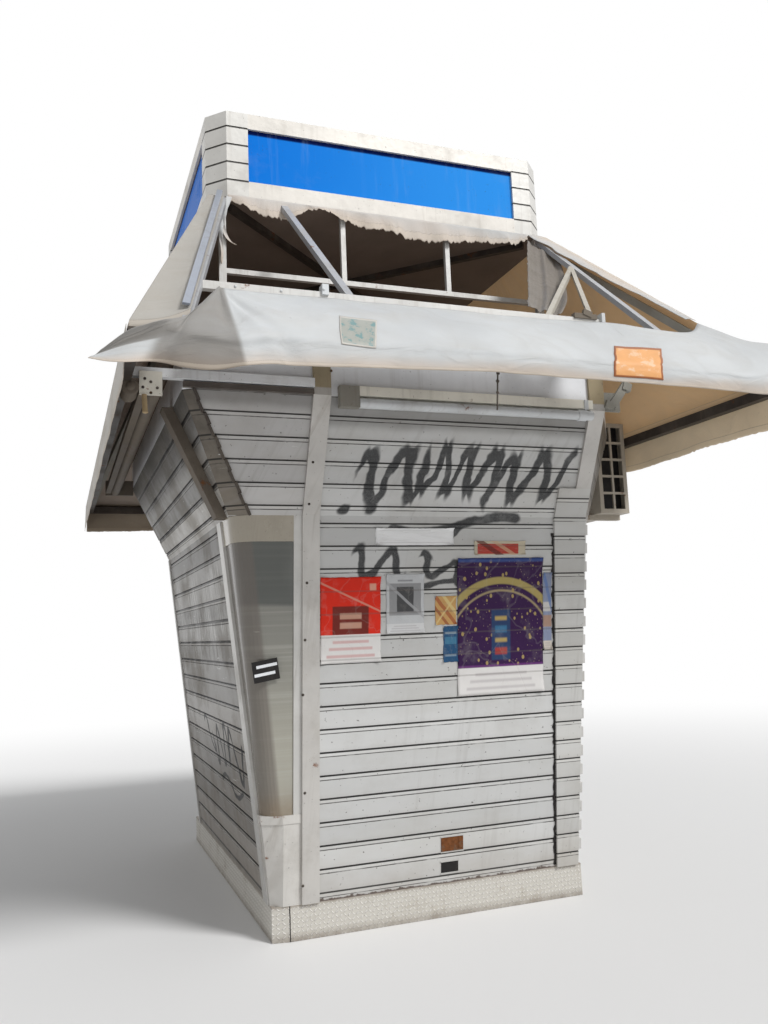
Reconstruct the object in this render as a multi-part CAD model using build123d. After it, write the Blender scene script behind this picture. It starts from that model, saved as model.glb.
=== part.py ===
from build123d import *
import math
import os

# Street kiosk: a small cabin of aluminium slats whose walls lean outward and then flare,
# with a showcase at its front left corner, a sign box on an open roof frame, and a cloth
# awning round all four sides, torn open at the front.
# Frame: X to the right along the front, Y towards the back, Z up, in millimetres.
# The origin is on the ground, under the middle of the cabin.

# Cabin
cabin_width = 1670
cabin_depth = 2400
skirt_height = 160
skirt_thick = 20
floor_top = 130
floor_thick = 30
bearer_width = 60
bearer_spacing = 780
bend_height = 1985
flare_height = 2510
fascia_height = 190
deck_thick = 20
wall_lean = 200
flare_lean = 250
wall_thick = 30
slanted_wall_thick = 12
joint_gap = 0.5

# Slats: each ends at its top in a narrow bead between a fine line and a deep groove
slat_pitch = 110
first_wall_line = 149
first_flare_line = 50
rib_places = (-22, -20, -18, -4, -3, 3, 4)
rib_depths = (0, 3, 1, 1, 7, 7, 0)
cover_pitch = 98
first_cover_line = 70
cover_rib_places = (-3, -2, 2, 3)
cover_rib_depths = (0, 5, 5, 0)

# Corner cuts along Y at the skirt, at the bend and at the top of the flare
small_cut = (32, 220, 571)
large_cut = (200, 390, 580)
cut_ratio = 0.718
hip_cut = (0, 60, 31)
hip_cut_ratio = 1.417
skirt_corner_run = 83
skirt_corner_side = 80
skirt_facet = 17

# Posts, covers and guides
showcase_width = 140
post_width = 85
post_depth = 60
post_proud = 15
right_post_inset = 48
cover_inset = 150
cover_rise = 145
front_guide_inset = 60
front_guide_width = 100
back_guide_width = 40
guide_proud = 8
flare_post_out = 100
flare_post_width = 100
flare_post_proud = 50

# Showcase at the front left corner
strip_width = 40
base_top = 540
sill_thick = 40
sill_proud = 4
band_height = 123
pane_thick = 5
pane_inset = 6
band_thick = 12
radius_low = 80
radius_high = 115
bend_steps = 8
base_cut_low = (45, 51)
base_cut_high = (45, 95)
back_panel_thick = 10

# Bars and tubes at the head of the cabin
beam_size = 40
beam_rise = 30
trim_size = 25
head_box_depth = 40
head_box_height = 45
roller_inset = 130
roller_radius = 25
roller_drop = 32
bracket_width = 95
bracket_height = 100
bracket_thick = 15

# Roof frame and sign box
sign_width = 2086
sign_depth = 1900
roof_frame_height = 1100
sign_height = 500
sign_cut = 100
column_return = 120
column_slats = 5
column_top_slat = 84
column_groove = 6
sign_thick = 30
top_rail_height = 88
bottom_rail_height = 100
panel_thick = 10
panel_recess = 15
ceiling_thick = 10
leg_size = 40
leg_inset = 50
mid_rail_drop = 410
strut_size = 28
strut_places = (-285, 362)
brace_size = 36

# Canopy
canopy_side_reach = 725
canopy_front_reach = 1070
ring_rise = 40
ring_size = 50
hip_size = 40
hip_drop = 80
hip_overrun = 0.12
rafter_size = 36
purlin_size = 36
cloth_thick = 8
cloth_gap = 0.3
band_reach = 410
left_rafter_insets = (78, 195)
right_rafter_insets = (68, 490)
middle_rafter_places = (-628, -576)
purlin_right_inset = 215
brace_feet_insets = (535, 285)
brace_reach = 340

# Cloth of the canopy and what is left of its torn front
band_left_inset = 225
band_right_drop = 75
gore_end_inset = 110
flap_root_inset = 220
flap_insets = (120, -131, 60)
flap_drops = (150, 121, 40)
valance_places = (1, 0.385, -0.19, -0.705)
valance_drops = (88, 92, 110, 154)
side_valance = 210
torn_hangs = (30, 110, 8, 8, 90, 125, 80, 30)
torn_shares = (0.082, 0.37, 0.588, 1)
torn_end_inset = 25
torn_right_inset = 75
torn_rafter_gap = 27
torn_overlap = 12
torn_thick = 4
drape_top = (-105, 55)
drape_side = (15, 300)
drape_feet = (-545, -685)
drape_lift = 30

# Left awning gear
plate_inset = 85
plate_width = 96
plate_height = 105
plate_thick = 10
gear_radius = 30
gear_drop = 28
gear_lap = 20
gear_length = 2690
gear_bar_size = 34
gear_bracket_thick = 30

# Air conditioner at the right side
ac_gap = 12
ac_width = 203
ac_height = 560
ac_length = 780
ac_front = -950
ac_drop = 430
ac_thick = 12
ac_rows = 5
ac_columns = 2
ac_bar = 14
ac_coil_recess = 60
ac_arm_height = 30
ac_arm_width = 40
ac_arm_inset = 100

half_width = cabin_width / 2
half_depth = cabin_depth / 2
head_height = flare_height + fascia_height
cover_top = bend_height + cover_rise
left_post_at = showcase_width - half_width
left_post_end = left_post_at + post_width
right_post_at = half_width - right_post_inset
cover_at = half_width - cover_inset
strip_at = left_post_at - strip_width
front_guide_at = front_guide_inset - half_depth
sill_top = base_top + sill_thick
band_bottom = bend_height - band_height
head_out = wall_lean + flare_lean
head_front = -half_depth - head_out
head_left = -half_width - head_out
sign_half_width = sign_width / 2
sign_half_depth = sign_depth / 2
sign_bottom = head_height + roof_frame_height
sign_top = sign_bottom + sign_height
mid_rail_height = sign_bottom - mid_rail_drop
ceiling_bottom = sign_bottom - ceiling_thick
canopy_top = ceiling_bottom
ring_top = flare_height + ring_rise
ac_bottom = flare_height - ac_drop
canopy_half_width = half_width + canopy_side_reach
canopy_half_depth = half_depth + canopy_front_reach
canopy_fall = canopy_top - ring_top
canopy_front = -canopy_half_depth
left_rafter_top = left_rafter_insets[0] - sign_half_width
left_rafter_foot = left_rafter_insets[1] - canopy_half_width
right_rafter_top = sign_half_width - right_rafter_insets[0]
right_rafter_foot = canopy_half_width - right_rafter_insets[1]
purlin_at = canopy_front + band_reach
purlin_right = right_rafter_top - purlin_right_inset
inward = {"front": (0, 1, 0), "back": (0, -1, 0), "left": (1, 0, 0), "right": (-1, 0, 0)}


def share(value, low, high):
    return (value - low) / (high - low)


def blend(values, z):
    """Value at height z of a size given at the skirt, at the bend and at the flare's top."""
    if z <= bend_height:
        return values[0] + (values[1] - values[0]) * share(z, skirt_height, bend_height)
    if z <= flare_height:
        return values[1] + (values[2] - values[1]) * share(z, bend_height, flare_height)
    return values[2]


def outset(z):
    """How far a wall stands out from the skirt at height z."""
    return blend((0, wall_lean, head_out), z)


def on_side(side, along, out, z):
    """A point on one side: along it, out from the skirt and up."""
    if side == "front":
        return Vector(along, -half_depth - out, z)
    if side == "back":
        return Vector(along, half_depth + out, z)
    if side == "left":
        return Vector(-half_width - out, along, z)
    return Vector(half_width + out, along, z)


def plate(points, direction):
    """A flat outline pushed along a direction."""
    face = Face(Wire.make_polygon([Vector(*point) for point in points], close=True))
    return Solid.extrude(face, Vector(*direction))


def box(x_range, y_range, z_range):
    ranges = (x_range, y_range, z_range)
    size = [high - low for low, high in ranges]
    middle = [(high + low) / 2 for low, high in ranges]
    return (Pos(*middle) * Box(*size)).solid()


def bar(start, end, width):
    """A straight square bar between two points."""
    run = Vector(*end) - Vector(*start)
    across = Vector(0, 0, 1).cross(run)
    section = Plane(origin=start, x_dir=across, z_dir=run) * Rectangle(width, width)
    return extrude(section, amount=run.length).solid()


def tube(start, end, radius):
    run = Vector(*end) - Vector(*start)
    return extrude(Plane(origin=start, z_dir=run) * Circle(radius), amount=run.length).solid()


def slab(side, low_ends, high_ends, heights, thick=wall_thick, proud=0):
    """A wall panel that follows the lean of its side between two heights."""
    low_out = outset(heights[0]) + proud
    high_out = outset(heights[1]) + proud
    points = [
        on_side(side, low_ends[0], low_out, heights[0]),
        on_side(side, low_ends[1], low_out, heights[0]),
        on_side(side, high_ends[1], high_out, heights[1]),
        on_side(side, high_ends[0], high_out, heights[1]),
    ]
    return plate(points, Vector(*inward[side]) * thick)


def straight_slab(side, ends, heights, thick=wall_thick, proud=0):
    return slab(side, ends, ends, heights, thick, proud)


def slat_levels(heights, first_line, pitch, rib_places, rib_depths):
    """Heights up a slatted wall, each with how deep its surface lies there."""
    low, high = heights
    slope = math.hypot(high - low, outset(high) - outset(low))
    levels = [(low, 0)]
    line = first_line
    while line + rib_places[-1] < slope:
        for place, depth in zip(rib_places, rib_depths):
            levels.append((low + (line + place) * (high - low) / slope, depth))
        line += pitch
    return levels + [(high, 0)]


def slatted(side, low_ends, high_ends, levels, thick=wall_thick, proud=0):
    """A slatted wall panel, cut off at ends that may lean."""
    heights = (levels[0][0], levels[-1][0])
    outer = [(outset(z) + proud - depth, z) for z, depth in levels]
    inner = [(outset(z) + proud - thick, z) for z in reversed(heights)]
    ends = low_ends + high_ends
    points = [on_side(side, min(ends), out, z) for out, z in outer + inner]
    along = Vector(1, 0, 0) if side in ("front", "back") else Vector(0, 1, 0)
    panel = plate(points, along * (max(ends) - min(ends)))
    if low_ends == high_ends:
        return panel
    return (panel & slab(side, low_ends, high_ends, heights, thick, proud)).solid()


def bent_post(start, end, heights):
    """A front post whose side profile bends with the wall."""
    outer = [(outset(z) + post_proud, z) for z in heights]
    inner = [(out - post_depth, z) for out, z in reversed(outer)]
    points = [on_side("front", start, out, z) for out, z in outer + inner]
    return plate(points, (end - start, 0, 0))


def front_cut_edge(z):
    """How far out the front wall runs before a small corner cut starts."""
    return half_width + outset(z) - blend(small_cut, z) * cut_ratio


def back_cut_edge(z):
    return half_width + outset(z) - blend(large_cut, z) * cut_ratio


def side_cut_edge(cuts, z):
    return half_depth + outset(z) - blend(cuts, z)


def corner_ends(side_x, side_y, cuts, ratio, z, inset):
    """The two ends of a corner cut at height z, or of its inner face."""
    cut_y = blend(cuts, z)
    cut_x = cut_y * ratio
    length = math.hypot(cut_x, cut_y)
    x_out = half_width + outset(z)
    y_out = half_depth + outset(z)
    first = Vector(side_x * (x_out - cut_x), side_y * (y_out - inset * length / cut_x), z)
    second = Vector(side_x * (x_out - inset * length / cut_y), side_y * (y_out - cut_y), z)
    return first, second


def slanted_wall(side_x, side_y, cuts, ratio, levels, thick=slanted_wall_thick):
    """The narrow wall across a corner, with ends that close against its neighbours."""
    outer = [corner_ends(side_x, side_y, cuts, ratio, z, depth) for z, depth in levels]
    inner = []
    for z, depth in (levels[0], levels[-1]):
        inner.append(corner_ends(side_x, side_y, cuts, ratio, z, thick))
    rings = [
        [*inner[0], *inner[1][::-1]],
        [*outer[0], *inner[0][::-1]],
        [*outer[-1], *inner[1][::-1]],
    ]
    for below, over in zip(outer, outer[1:]):
        rings.append([*below, *over[::-1]])
    for end in (0, 1):
        rings.append([points[end] for points in outer] + [inner[1][end], inner[0][end]])
    return Solid(Shell([Face(Wire.make_polygon(ring, close=True)) for ring in rings]))


def plain_corners(levels):
    """The walls across the three corners other than the showcase's."""
    corners = []
    for side_x, side_y, cuts in ((1, -1, small_cut), (1, 1, small_cut), (-1, 1, large_cut)):
        corners.append(slanted_wall(side_x, side_y, cuts, cut_ratio, levels))
    return corners


wall_levels = slat_levels(
    (skirt_height, bend_height), first_wall_line, slat_pitch, rib_places, rib_depths)
flare_levels = slat_levels(
    (bend_height, flare_height), first_flare_line, slat_pitch, rib_places, rib_depths)


def skirt():
    inner_x = half_width - skirt_thick
    inner_y = half_depth - skirt_thick
    heights = (0, skirt_height)
    sides = (joint_gap - inner_y, inner_y - joint_gap)
    boards = [
        box((-half_width + skirt_corner_run, half_width), (-half_depth, -inner_y), heights),
        box((-half_width, half_width), (inner_y, half_depth), heights),
        box((-half_width, -inner_x), (-half_depth + skirt_corner_side, sides[1]), heights),
        box((inner_x, half_width), sides, heights),
    ]
    outline = [
        (-half_width, -half_depth + skirt_corner_side, 0),
        (-half_width, -half_depth + skirt_facet, 0),
        (-half_width + skirt_corner_run, -half_depth, 0),
        (-half_width + skirt_corner_run, -inner_y, 0),
        (-inner_x, -inner_y, 0),
        (-inner_x, -half_depth + skirt_corner_side, 0),
    ]
    bearer_top = floor_top - floor_thick
    deck = box((-inner_x, inner_x), (-inner_y, inner_y), (bearer_top, floor_top))
    half_bearer = bearer_width / 2
    for y in (-bearer_spacing, 0, bearer_spacing):
        deck += box((-inner_x, inner_x), (y - half_bearer, y + half_bearer), (0, bearer_top))
    return {
        "plinth_boards": Compound(boards),
        "plinth_corner": plate(outline, (0, 0, skirt_height)),
        "floor_deck": deck.solid(),
    }


def front():
    wall = (skirt_height, bend_height)
    post_end = front_cut_edge(flare_height)
    shutter_ends = (left_post_end, cover_at)
    low_cover = slatted(
        "front", (cover_at, front_cut_edge(skirt_height)), (cover_at, front_cut_edge(bend_height)),
        slat_levels(wall, first_cover_line, cover_pitch, cover_rib_places, cover_rib_depths),
        wall_thick + post_proud, post_proud)
    high_cover = slab(
        "front", (cover_at, front_cut_edge(bend_height)), (cover_at, front_cut_edge(cover_top)),
        (bend_height, cover_top), wall_thick + post_proud, post_proud)
    flare_ends = (left_post_end, right_post_at)
    cover_hole = box(
        (cover_at, right_post_at), (head_front, -half_depth), (bend_height, cover_top))
    front_flare = slatted("front", flare_ends, flare_ends, flare_levels) - cover_hole
    hip_low = -half_width - outset(bend_height) + blend(hip_cut, bend_height) * hip_cut_ratio
    hip_high = head_left + blend(hip_cut, flare_height) * hip_cut_ratio
    return {
        "front_left_post": bent_post(
            left_post_at, left_post_end, (skirt_height, bend_height, flare_height, head_height)),
        "front_right_post": bent_post(
            right_post_at, post_end, (cover_top, flare_height, head_height)),
        "front_shutter": slatted("front", shutter_ends, shutter_ends, wall_levels),
        "front_corner_cover": low_cover + high_cover,
        "front_flare": front_flare.solid(),
        "corner_flare": slatted(
            "front", (hip_low, left_post_at), (hip_high, left_post_at), flare_levels),
    }


def left_side():
    wall = (skirt_height, bend_height)
    flare = (bend_height, flare_height)
    front_guide_end = front_guide_at + front_guide_width
    far_low, far_bend, far_top = [
        side_cut_edge(large_cut, z) for z in (skirt_height, bend_height, flare_height)]
    front_guide = straight_slab(
        "left", (front_guide_at, front_guide_end), wall, wall_thick + guide_proud, guide_proud)
    back_guide = slab(
        "left", (far_low - back_guide_width, far_low), (far_bend - back_guide_width, far_bend),
        wall, wall_thick + guide_proud, guide_proud)
    near_low = -half_depth - outset(bend_height) + blend(hip_cut, bend_height)
    near_top = head_front + blend(hip_cut, flare_height)
    post_at = -half_depth - flare_post_out
    return {
        "left_guides": Compound([front_guide, back_guide]),
        "left_shutter": slatted(
            "left", (front_guide_end, far_low - back_guide_width),
            (front_guide_end, far_bend - back_guide_width), wall_levels),
        "left_flare": slatted("left", (near_low, far_bend), (near_top, far_top), flare_levels),
        "left_flare_post": straight_slab(
            "left", (post_at, post_at + flare_post_width), flare,
            flare_post_proud, flare_post_proud),
    }


def hidden_sides():
    pieces = {}
    for name, levels in (("wall", wall_levels), ("flare", flare_levels)):
        side_ends = []
        back_ends = []
        for z in (levels[0][0], levels[-1][0]):
            side_ends.append((-side_cut_edge(small_cut, z), side_cut_edge(small_cut, z)))
            back_ends.append((-back_cut_edge(z), front_cut_edge(z)))
        pieces["right_" + name] = slatted("right", *side_ends, levels)
        pieces["back_" + name] = slatted("back", *back_ends, levels)
        pieces["corner_" + name + "s"] = Compound(plain_corners(levels))
    hip_levels = [(bend_height, 0), (flare_height, 0)]
    hip = slanted_wall(-1, -1, hip_cut, hip_cut_ratio, hip_levels)
    pieces["corner_flares"] = Compound(plain_corners(flare_levels) + [hip])
    return pieces


def showcase_line(z, inset, radius):
    """The outline of the showcase front at height z, with its bend in a few flat steps."""
    x_left = -half_width - outset(z) + inset
    y_front = -half_depth - outset(z) + inset
    points = [Vector(x_left, front_guide_at, z)]
    for step in range(bend_steps + 1):
        turn = math.radians(90) * step / bend_steps
        x = x_left + radius * (1 - math.cos(turn))
        y = y_front + radius * (1 - math.sin(turn))
        points.append(Vector(x, y, z))
    return points + [Vector(strip_at, y_front, z)]


def bent_sheet(z_low, z_high, inset, thick):
    """A thin sheet bent round the showcase corner, between two heights."""
    sections = []
    for z in (z_low, z_high):
        radius = radius_low + (radius_high - radius_low) * share(z, sill_top, bend_height)
        outer = showcase_line(z, inset, radius)
        inner = showcase_line(z, inset + thick, radius - thick)
        sections.append(Wire.make_polygon(outer + inner[::-1], close=True))
    return Solid.make_loft(sections, ruled=True)


def corner_block(z_low, z_high, cut_low, cut_high, proud=0):
    """A closed block that fills the showcase corner between two heights."""
    sections = []
    for z, (cut_y, cut_x) in ((z_low, cut_low), (z_high, cut_high)):
        x_left = -half_width - outset(z) - proud
        y_front = -half_depth - outset(z) - proud
        outline = [
            (x_left, front_guide_at), (x_left, y_front + cut_y), (x_left + cut_x, y_front),
            (left_post_at, y_front), (left_post_at, front_guide_at),
        ]
        points = [Vector(x, y, z) for x, y in outline]
        sections.append(Wire.make_polygon(points, close=True))
    return Solid.make_loft(sections, ruled=True)


def showcase():
    heights = (sill_top, bend_height)
    back_edge = []
    side_edge = []
    for z in heights:
        back_edge.append((wall_thick - half_width - outset(z), front_guide_at, z))
        side_edge.append((left_post_at, wall_thick - half_depth - outset(z), z))
    corner_low = (left_post_at, front_guide_at, sill_top)
    corner_high = (left_post_at, front_guide_at, bend_height)
    back = plate([back_edge[0], corner_low, corner_high, back_edge[1]], (0, back_panel_thick, 0))
    side = plate([side_edge[0], corner_low, corner_high, side_edge[1]], (-back_panel_thick, 0, 0))
    return {
        "corner_base": corner_block(skirt_height, base_top, base_cut_low, base_cut_high),
        "showcase_sill": corner_block(
            base_top, sill_top, base_cut_high, base_cut_high, sill_proud),
        "showcase_pane": bent_sheet(sill_top, band_bottom, pane_inset, pane_thick),
        "showcase_band": bent_sheet(band_bottom, bend_height, 0, band_thick),
        "showcase_strip": straight_slab("front", (strip_at, left_post_at), heights),
        "showcase_back": back + side,
    }


def head():
    heights = (flare_height, head_height)
    side = side_cut_edge(small_cut, flare_height)
    far = side_cut_edge(large_cut, flare_height)
    edge = front_cut_edge(flare_height)
    back_left = -back_cut_edge(flare_height)
    fascia = [
        straight_slab("front", (head_left, left_post_at), heights),
        straight_slab("front", (left_post_end, right_post_at), heights),
        straight_slab("left", (head_front + wall_thick + joint_gap, far - joint_gap), heights),
        straight_slab("right", (joint_gap - side, side - joint_gap), heights),
        straight_slab("back", (back_left + joint_gap, edge - joint_gap), heights),
    ]
    head_corners = []
    for side_x, side_y, cuts in ((1, -1, small_cut), (1, 1, small_cut), (-1, 1, large_cut)):
        head_corners.append(slanted_wall(
            side_x, side_y, cuts, cut_ratio, [(flare_height, 0), (head_height, 0)]))
    outline = [
        (head_left, head_front), (edge, head_front),
        (-head_left, -side), (-head_left, side),
        (edge, -head_front), (back_left, -head_front), (head_left, far),
    ]
    deck_points = [(x, y, head_height) for x, y in outline]
    beam_bottom = flare_height + beam_rise
    beam_left = ring_size - canopy_half_width
    beam = box(
        (beam_left, left_post_at), (head_front - beam_size, head_front),
        (beam_bottom, beam_bottom + beam_size))
    trim = box(
        (head_left, left_post_at), (head_front - trim_size, head_front),
        (flare_height, flare_height + trim_size))
    roller_left = left_post_end + roller_inset
    roller_height = flare_height - roller_drop
    roller_y = -half_depth - outset(roller_height + roller_radius) - roller_radius
    box_top = flare_height + head_box_height
    box_depths = (head_front - head_box_depth, head_front)
    bracket_low = roller_height - roller_radius
    left_bracket = box(
        (roller_left - bracket_width, roller_left), box_depths, (bracket_low, box_top))
    right_bracket = box(
        (edge, edge + bracket_width), (head_front - bracket_thick, head_front),
        (flare_height, flare_height + bracket_height))
    return {
        "head_fascia": Compound(fascia),
        "head_corners": Compound(head_corners),
        "roof_deck": plate(deck_points, (0, 0, deck_thick)),
        "head_bars": Compound([beam, trim]),
        "head_box": box((roller_left, right_post_at), box_depths, (flare_height, box_top)),
        "roller_tube": tube(
            (roller_left, roller_y, roller_height), (right_post_at, roller_y, roller_height),
            roller_radius),
        "head_brackets": Compound([left_bracket, right_bracket]),
    }


def roof_frame():
    leg_x = sign_half_width - leg_inset - leg_size / 2
    leg_y = sign_half_depth - leg_size / 2
    half_strut = strut_size / 2
    rail_end = leg_x - leg_size / 2
    legs = []
    rails = []
    for side_y in (-1, 1):
        y_middle = side_y * leg_y
        for side_x in (-1, 1):
            x_middle = side_x * leg_x
            legs.append(box(
                (x_middle - leg_size / 2, x_middle + leg_size / 2),
                (y_middle - leg_size / 2, y_middle + leg_size / 2),
                (head_height + deck_thick, ceiling_bottom)))
        depths = (y_middle - half_strut, y_middle + half_strut)
        rail = box((-rail_end, rail_end), depths, (mid_rail_height - strut_size, mid_rail_height))
        for x in strut_places:
            rail += box(
                (x - half_strut, x + half_strut), depths, (mid_rail_height, ceiling_bottom))
        rails.append(rail.solid())
    reach_x = rail_end - brace_size
    reach_y = leg_y - leg_size / 2 - brace_size
    z = ceiling_bottom - brace_size / 2
    braces = bar((-reach_x, -reach_y, z), (reach_x, reach_y, z), brace_size)
    braces += bar((-reach_x, reach_y, z), (reach_x, -reach_y, z), brace_size)
    return {
        "sign_legs": Compound(legs),
        "roof_rails": Compound(rails),
        "ceiling_braces": braces,
    }


def sign_ring(z_low, z_high, recess, thick):
    """Four straight lengths between the corner columns of the sign box."""
    run = sign_cut + column_return
    solids = []
    for side in (-1, 1):
        y_out = sign_half_depth - recess
        x_out = sign_half_width - recess
        depths = sorted((side * y_out, side * (y_out - thick)))
        widths = sorted((side * x_out, side * (x_out - thick)))
        solids.append(box((run - sign_half_width, sign_half_width - run), depths, (z_low, z_high)))
        solids.append(box(widths, (run - sign_half_depth, sign_half_depth - run), (z_low, z_high)))
    return solids


def column_plate(side_x, side_y, depth, z_low, z_high):
    """A level stretch of a corner column, its face set back by a depth."""
    run = sign_cut + column_return
    slant = math.tan(math.radians(22.5))
    face_cut = sign_cut + depth * slant
    inner_cut = sign_cut + sign_thick * slant
    outline = [(run, depth), (face_cut, depth), (depth, face_cut), (depth, run)]
    outline += [
        (sign_thick, run), (sign_thick, inner_cut), (inner_cut, sign_thick), (run, sign_thick)]
    points = []
    for x, y in outline:
        points.append((side_x * (sign_half_width - x), side_y * (sign_half_depth - y), z_low))
    return plate(points, (0, 0, z_high - z_low))


def sign_column(side_x, side_y):
    """A corner of the sign box, made of a few slats with a groove between each two."""
    slat = (sign_height - column_top_slat) / (column_slats - 1)
    column = column_plate(side_x, side_y, 0, sign_top - column_top_slat, sign_top)
    for i in range(1, column_slats):
        top = sign_top - column_top_slat - (i - 1) * slat
        column += column_plate(side_x, side_y, column_groove, top - column_groove, top)
        column += column_plate(side_x, side_y, 0, top - slat, top - column_groove)
    return column.solid()


def sign_box():
    columns = []
    for side_x in (-1, 1):
        for side_y in (-1, 1):
            columns.append(sign_column(side_x, side_y))
    panel_low = sign_bottom + bottom_rail_height
    panel_high = sign_top - top_rail_height
    rails = sign_ring(panel_high, sign_top, 0, sign_thick)
    rails += sign_ring(sign_bottom, panel_low, 0, sign_thick)
    edge_x = sign_half_width - sign_cut
    edge_y = sign_half_depth - sign_cut
    outline = [
        (edge_x, sign_half_depth), (sign_half_width, edge_y), (sign_half_width, -edge_y),
        (edge_x, -sign_half_depth), (-edge_x, -sign_half_depth), (-sign_half_width, -edge_y),
        (-sign_half_width, edge_y), (-edge_x, sign_half_depth),
    ]
    ceiling_points = [(x, y, ceiling_bottom) for x, y in outline]
    return {
        "sign_columns": Compound(columns),
        "sign_rails": Compound(rails),
        "sign_panels": Compound(sign_ring(panel_low, panel_high, panel_recess, panel_thick)),
        "sign_ceiling": plate(ceiling_points, (0, 0, ceiling_thick)),
    }


def front_slope(y):
    """Height of the front slope of the canopy at a distance along Y."""
    return canopy_top - canopy_fall * share(-y, sign_half_depth, canopy_half_depth)


def front_hip(y):
    """Half the width of the front slope at a distance along Y."""
    grow = canopy_half_width - sign_half_width
    return sign_half_width + grow * share(-y, sign_half_depth, canopy_half_depth)


def on_front_slope(outline, lift, thick):
    """A flat piece in the front slope, lifted above it by a gap or sunk below it."""
    points = [(x, y, front_slope(y) + lift) for x, y in outline]
    return plate(points, (0, 0, thick))


def slope_bar(top, bottom, width):
    """A rafter that lies in the front slope between two points."""
    half = width / 2
    outline = [
        (top[0] - half, top[1]), (top[0] + half, top[1]),
        (bottom[0] + half, bottom[1]), (bottom[0] - half, bottom[1]),
    ]
    return on_front_slope(outline, -width, width)


def above(solid, z_low):
    """What is left of a solid between a height and the underside of the sign box."""
    size = 4 * canopy_half_depth
    keep = Pos(0, 0, (z_low + ceiling_bottom) / 2) * Box(size, size, ceiling_bottom - z_low)
    return (solid & keep).solid()


def rafter_x(top, foot, y):
    """Where a front rafter passes a distance along Y."""
    return top + (foot - top) * share(-y, sign_half_depth, canopy_half_depth)


def canopy_frame():
    inner_x = canopy_half_width - ring_size
    inner_y = canopy_half_depth - ring_size
    heights = (ring_top - ring_size, ring_top)
    side_run = (joint_gap - inner_y, inner_y - joint_gap)
    ring = []
    hips = []
    for side in (-1, 1):
        depths = sorted((side * canopy_half_depth, side * inner_y))
        widths = sorted((side * canopy_half_width, side * inner_x))
        ring.append(box((-canopy_half_width, canopy_half_width), depths, heights))
        ring.append(box(widths, side_run, heights))
        for side_y in (-1, 1):
            start = Vector(side * sign_half_width, side_y * sign_half_depth, canopy_top - hip_drop)
            end = Vector(side * canopy_half_width, side_y * canopy_half_depth, ring_top - hip_drop)
            overrun = (end - start) * hip_overrun
            hips.append(above(bar(start - overrun, end + overrun, hip_size), ring_top))
    top_y = -sign_half_depth
    purlin_front = purlin_at - purlin_size / 2
    purlin_top = front_slope(purlin_front)
    left_rafter = above(
        slope_bar((left_rafter_top, top_y), (left_rafter_foot, canopy_front), rafter_size), ring_top)
    right_rafter = above(
        slope_bar((right_rafter_top, top_y), (right_rafter_foot, canopy_front), rafter_size),
        ring_top)
    purlin_left = rafter_x(left_rafter_top, left_rafter_foot, purlin_at)
    purlin = box(
        (purlin_left, purlin_right), (purlin_front, purlin_front + purlin_size),
        (purlin_top - purlin_size, purlin_top)) - left_rafter
    middle_rafter = slope_bar(
        (middle_rafter_places[0], top_y), (middle_rafter_places[1], purlin_front), rafter_size)
    middle_rafter = (middle_rafter - purlin).solid()
    apex_y = top_y - brace_reach
    apex_x = rafter_x(right_rafter_top, right_rafter_foot, apex_y) - rafter_size / 2
    apex = (apex_x, apex_y)
    feet = [(right_rafter_top - inset, purlin_front) for inset in brace_feet_insets]
    braces = slope_bar(apex, feet[0], strut_size) + slope_bar(apex, feet[1], strut_size)
    return {
        "ring_bars": Compound(ring),
        "hip_rafters": Compound(hips),
        "front_rafters": Compound([left_rafter, middle_rafter, right_rafter]),
        "front_purlin": purlin,
        "front_braces": braces - right_rafter - purlin,
    }


def front_cloths():
    corner_gap = 2 * cloth_gap
    top_y = -sign_half_depth - cloth_gap
    gore_end = canopy_front + gore_end_inset
    gore = on_front_slope([
        (corner_gap - front_hip(top_y), top_y),
        (left_rafter_top, top_y),
        (rafter_x(left_rafter_top, left_rafter_foot, gore_end), gore_end),
        (corner_gap - canopy_half_width, canopy_front),
    ], cloth_gap, cloth_thick)
    flap_root = flap_root_inset - canopy_half_width
    band_right_y = purlin_at - band_right_drop
    band = on_front_slope([
        (left_rafter_top - band_left_inset, purlin_at),
        (purlin_right, purlin_at),
        (front_hip(band_right_y) - corner_gap, band_right_y),
        (canopy_half_width - corner_gap, canopy_front),
        (flap_root, canopy_front),
    ], cloth_gap, cloth_thick)
    fold = ring_top + cloth_thick
    line = [(flap_root, fold), (canopy_half_width, fold)]
    for place, drop in zip(valance_places, valance_drops):
        line.append((place * canopy_half_width, ring_top - drop))
    for inset, drop in zip(flap_insets, flap_drops):
        line.append((inset - canopy_half_width, ring_top - drop))
    y = canopy_front - cloth_gap
    valance = plate([(x, y, z) for x, z in line], (0, -cloth_thick, 0))
    return {"front_canopy": Compound([gore, band]), "front_valance": valance}


def torn_cloths():
    """What still hangs from the sign box, and a length of cloth slung under the right rafter."""
    middle = middle_rafter_places[0]
    left_end = left_rafter_top + torn_end_inset
    right_end = right_rafter_top - torn_right_inset
    before_rafter = middle - torn_rafter_gap
    places = [left_end, (left_end + before_rafter) / 2, before_rafter, middle + torn_rafter_gap]
    places += [middle + share_of_run * (right_end - middle) for share_of_run in torn_shares]
    line = [(x, sign_bottom - hang) for x, hang in zip(places, torn_hangs)]
    line += [(right_end, sign_bottom + torn_overlap), (left_end, sign_bottom + torn_overlap)]
    y = -sign_half_depth - cloth_gap
    strip = plate([(x, y, z) for x, z in line], (0, -torn_thick, 0))
    outline = [
        (right_rafter_top + drape_top[0], -sign_half_depth - drape_top[1]),
        (right_rafter_top + drape_side[0], -sign_half_depth - drape_side[1]),
        (right_rafter_top + drape_feet[0], purlin_at + drape_lift),
        (right_rafter_top + drape_feet[1], purlin_at + drape_lift),
    ]
    drape = on_front_slope(outline, -rafter_size - cloth_gap - cloth_thick, cloth_thick)
    return {"torn_strip": strip, "torn_drape": drape}


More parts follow.
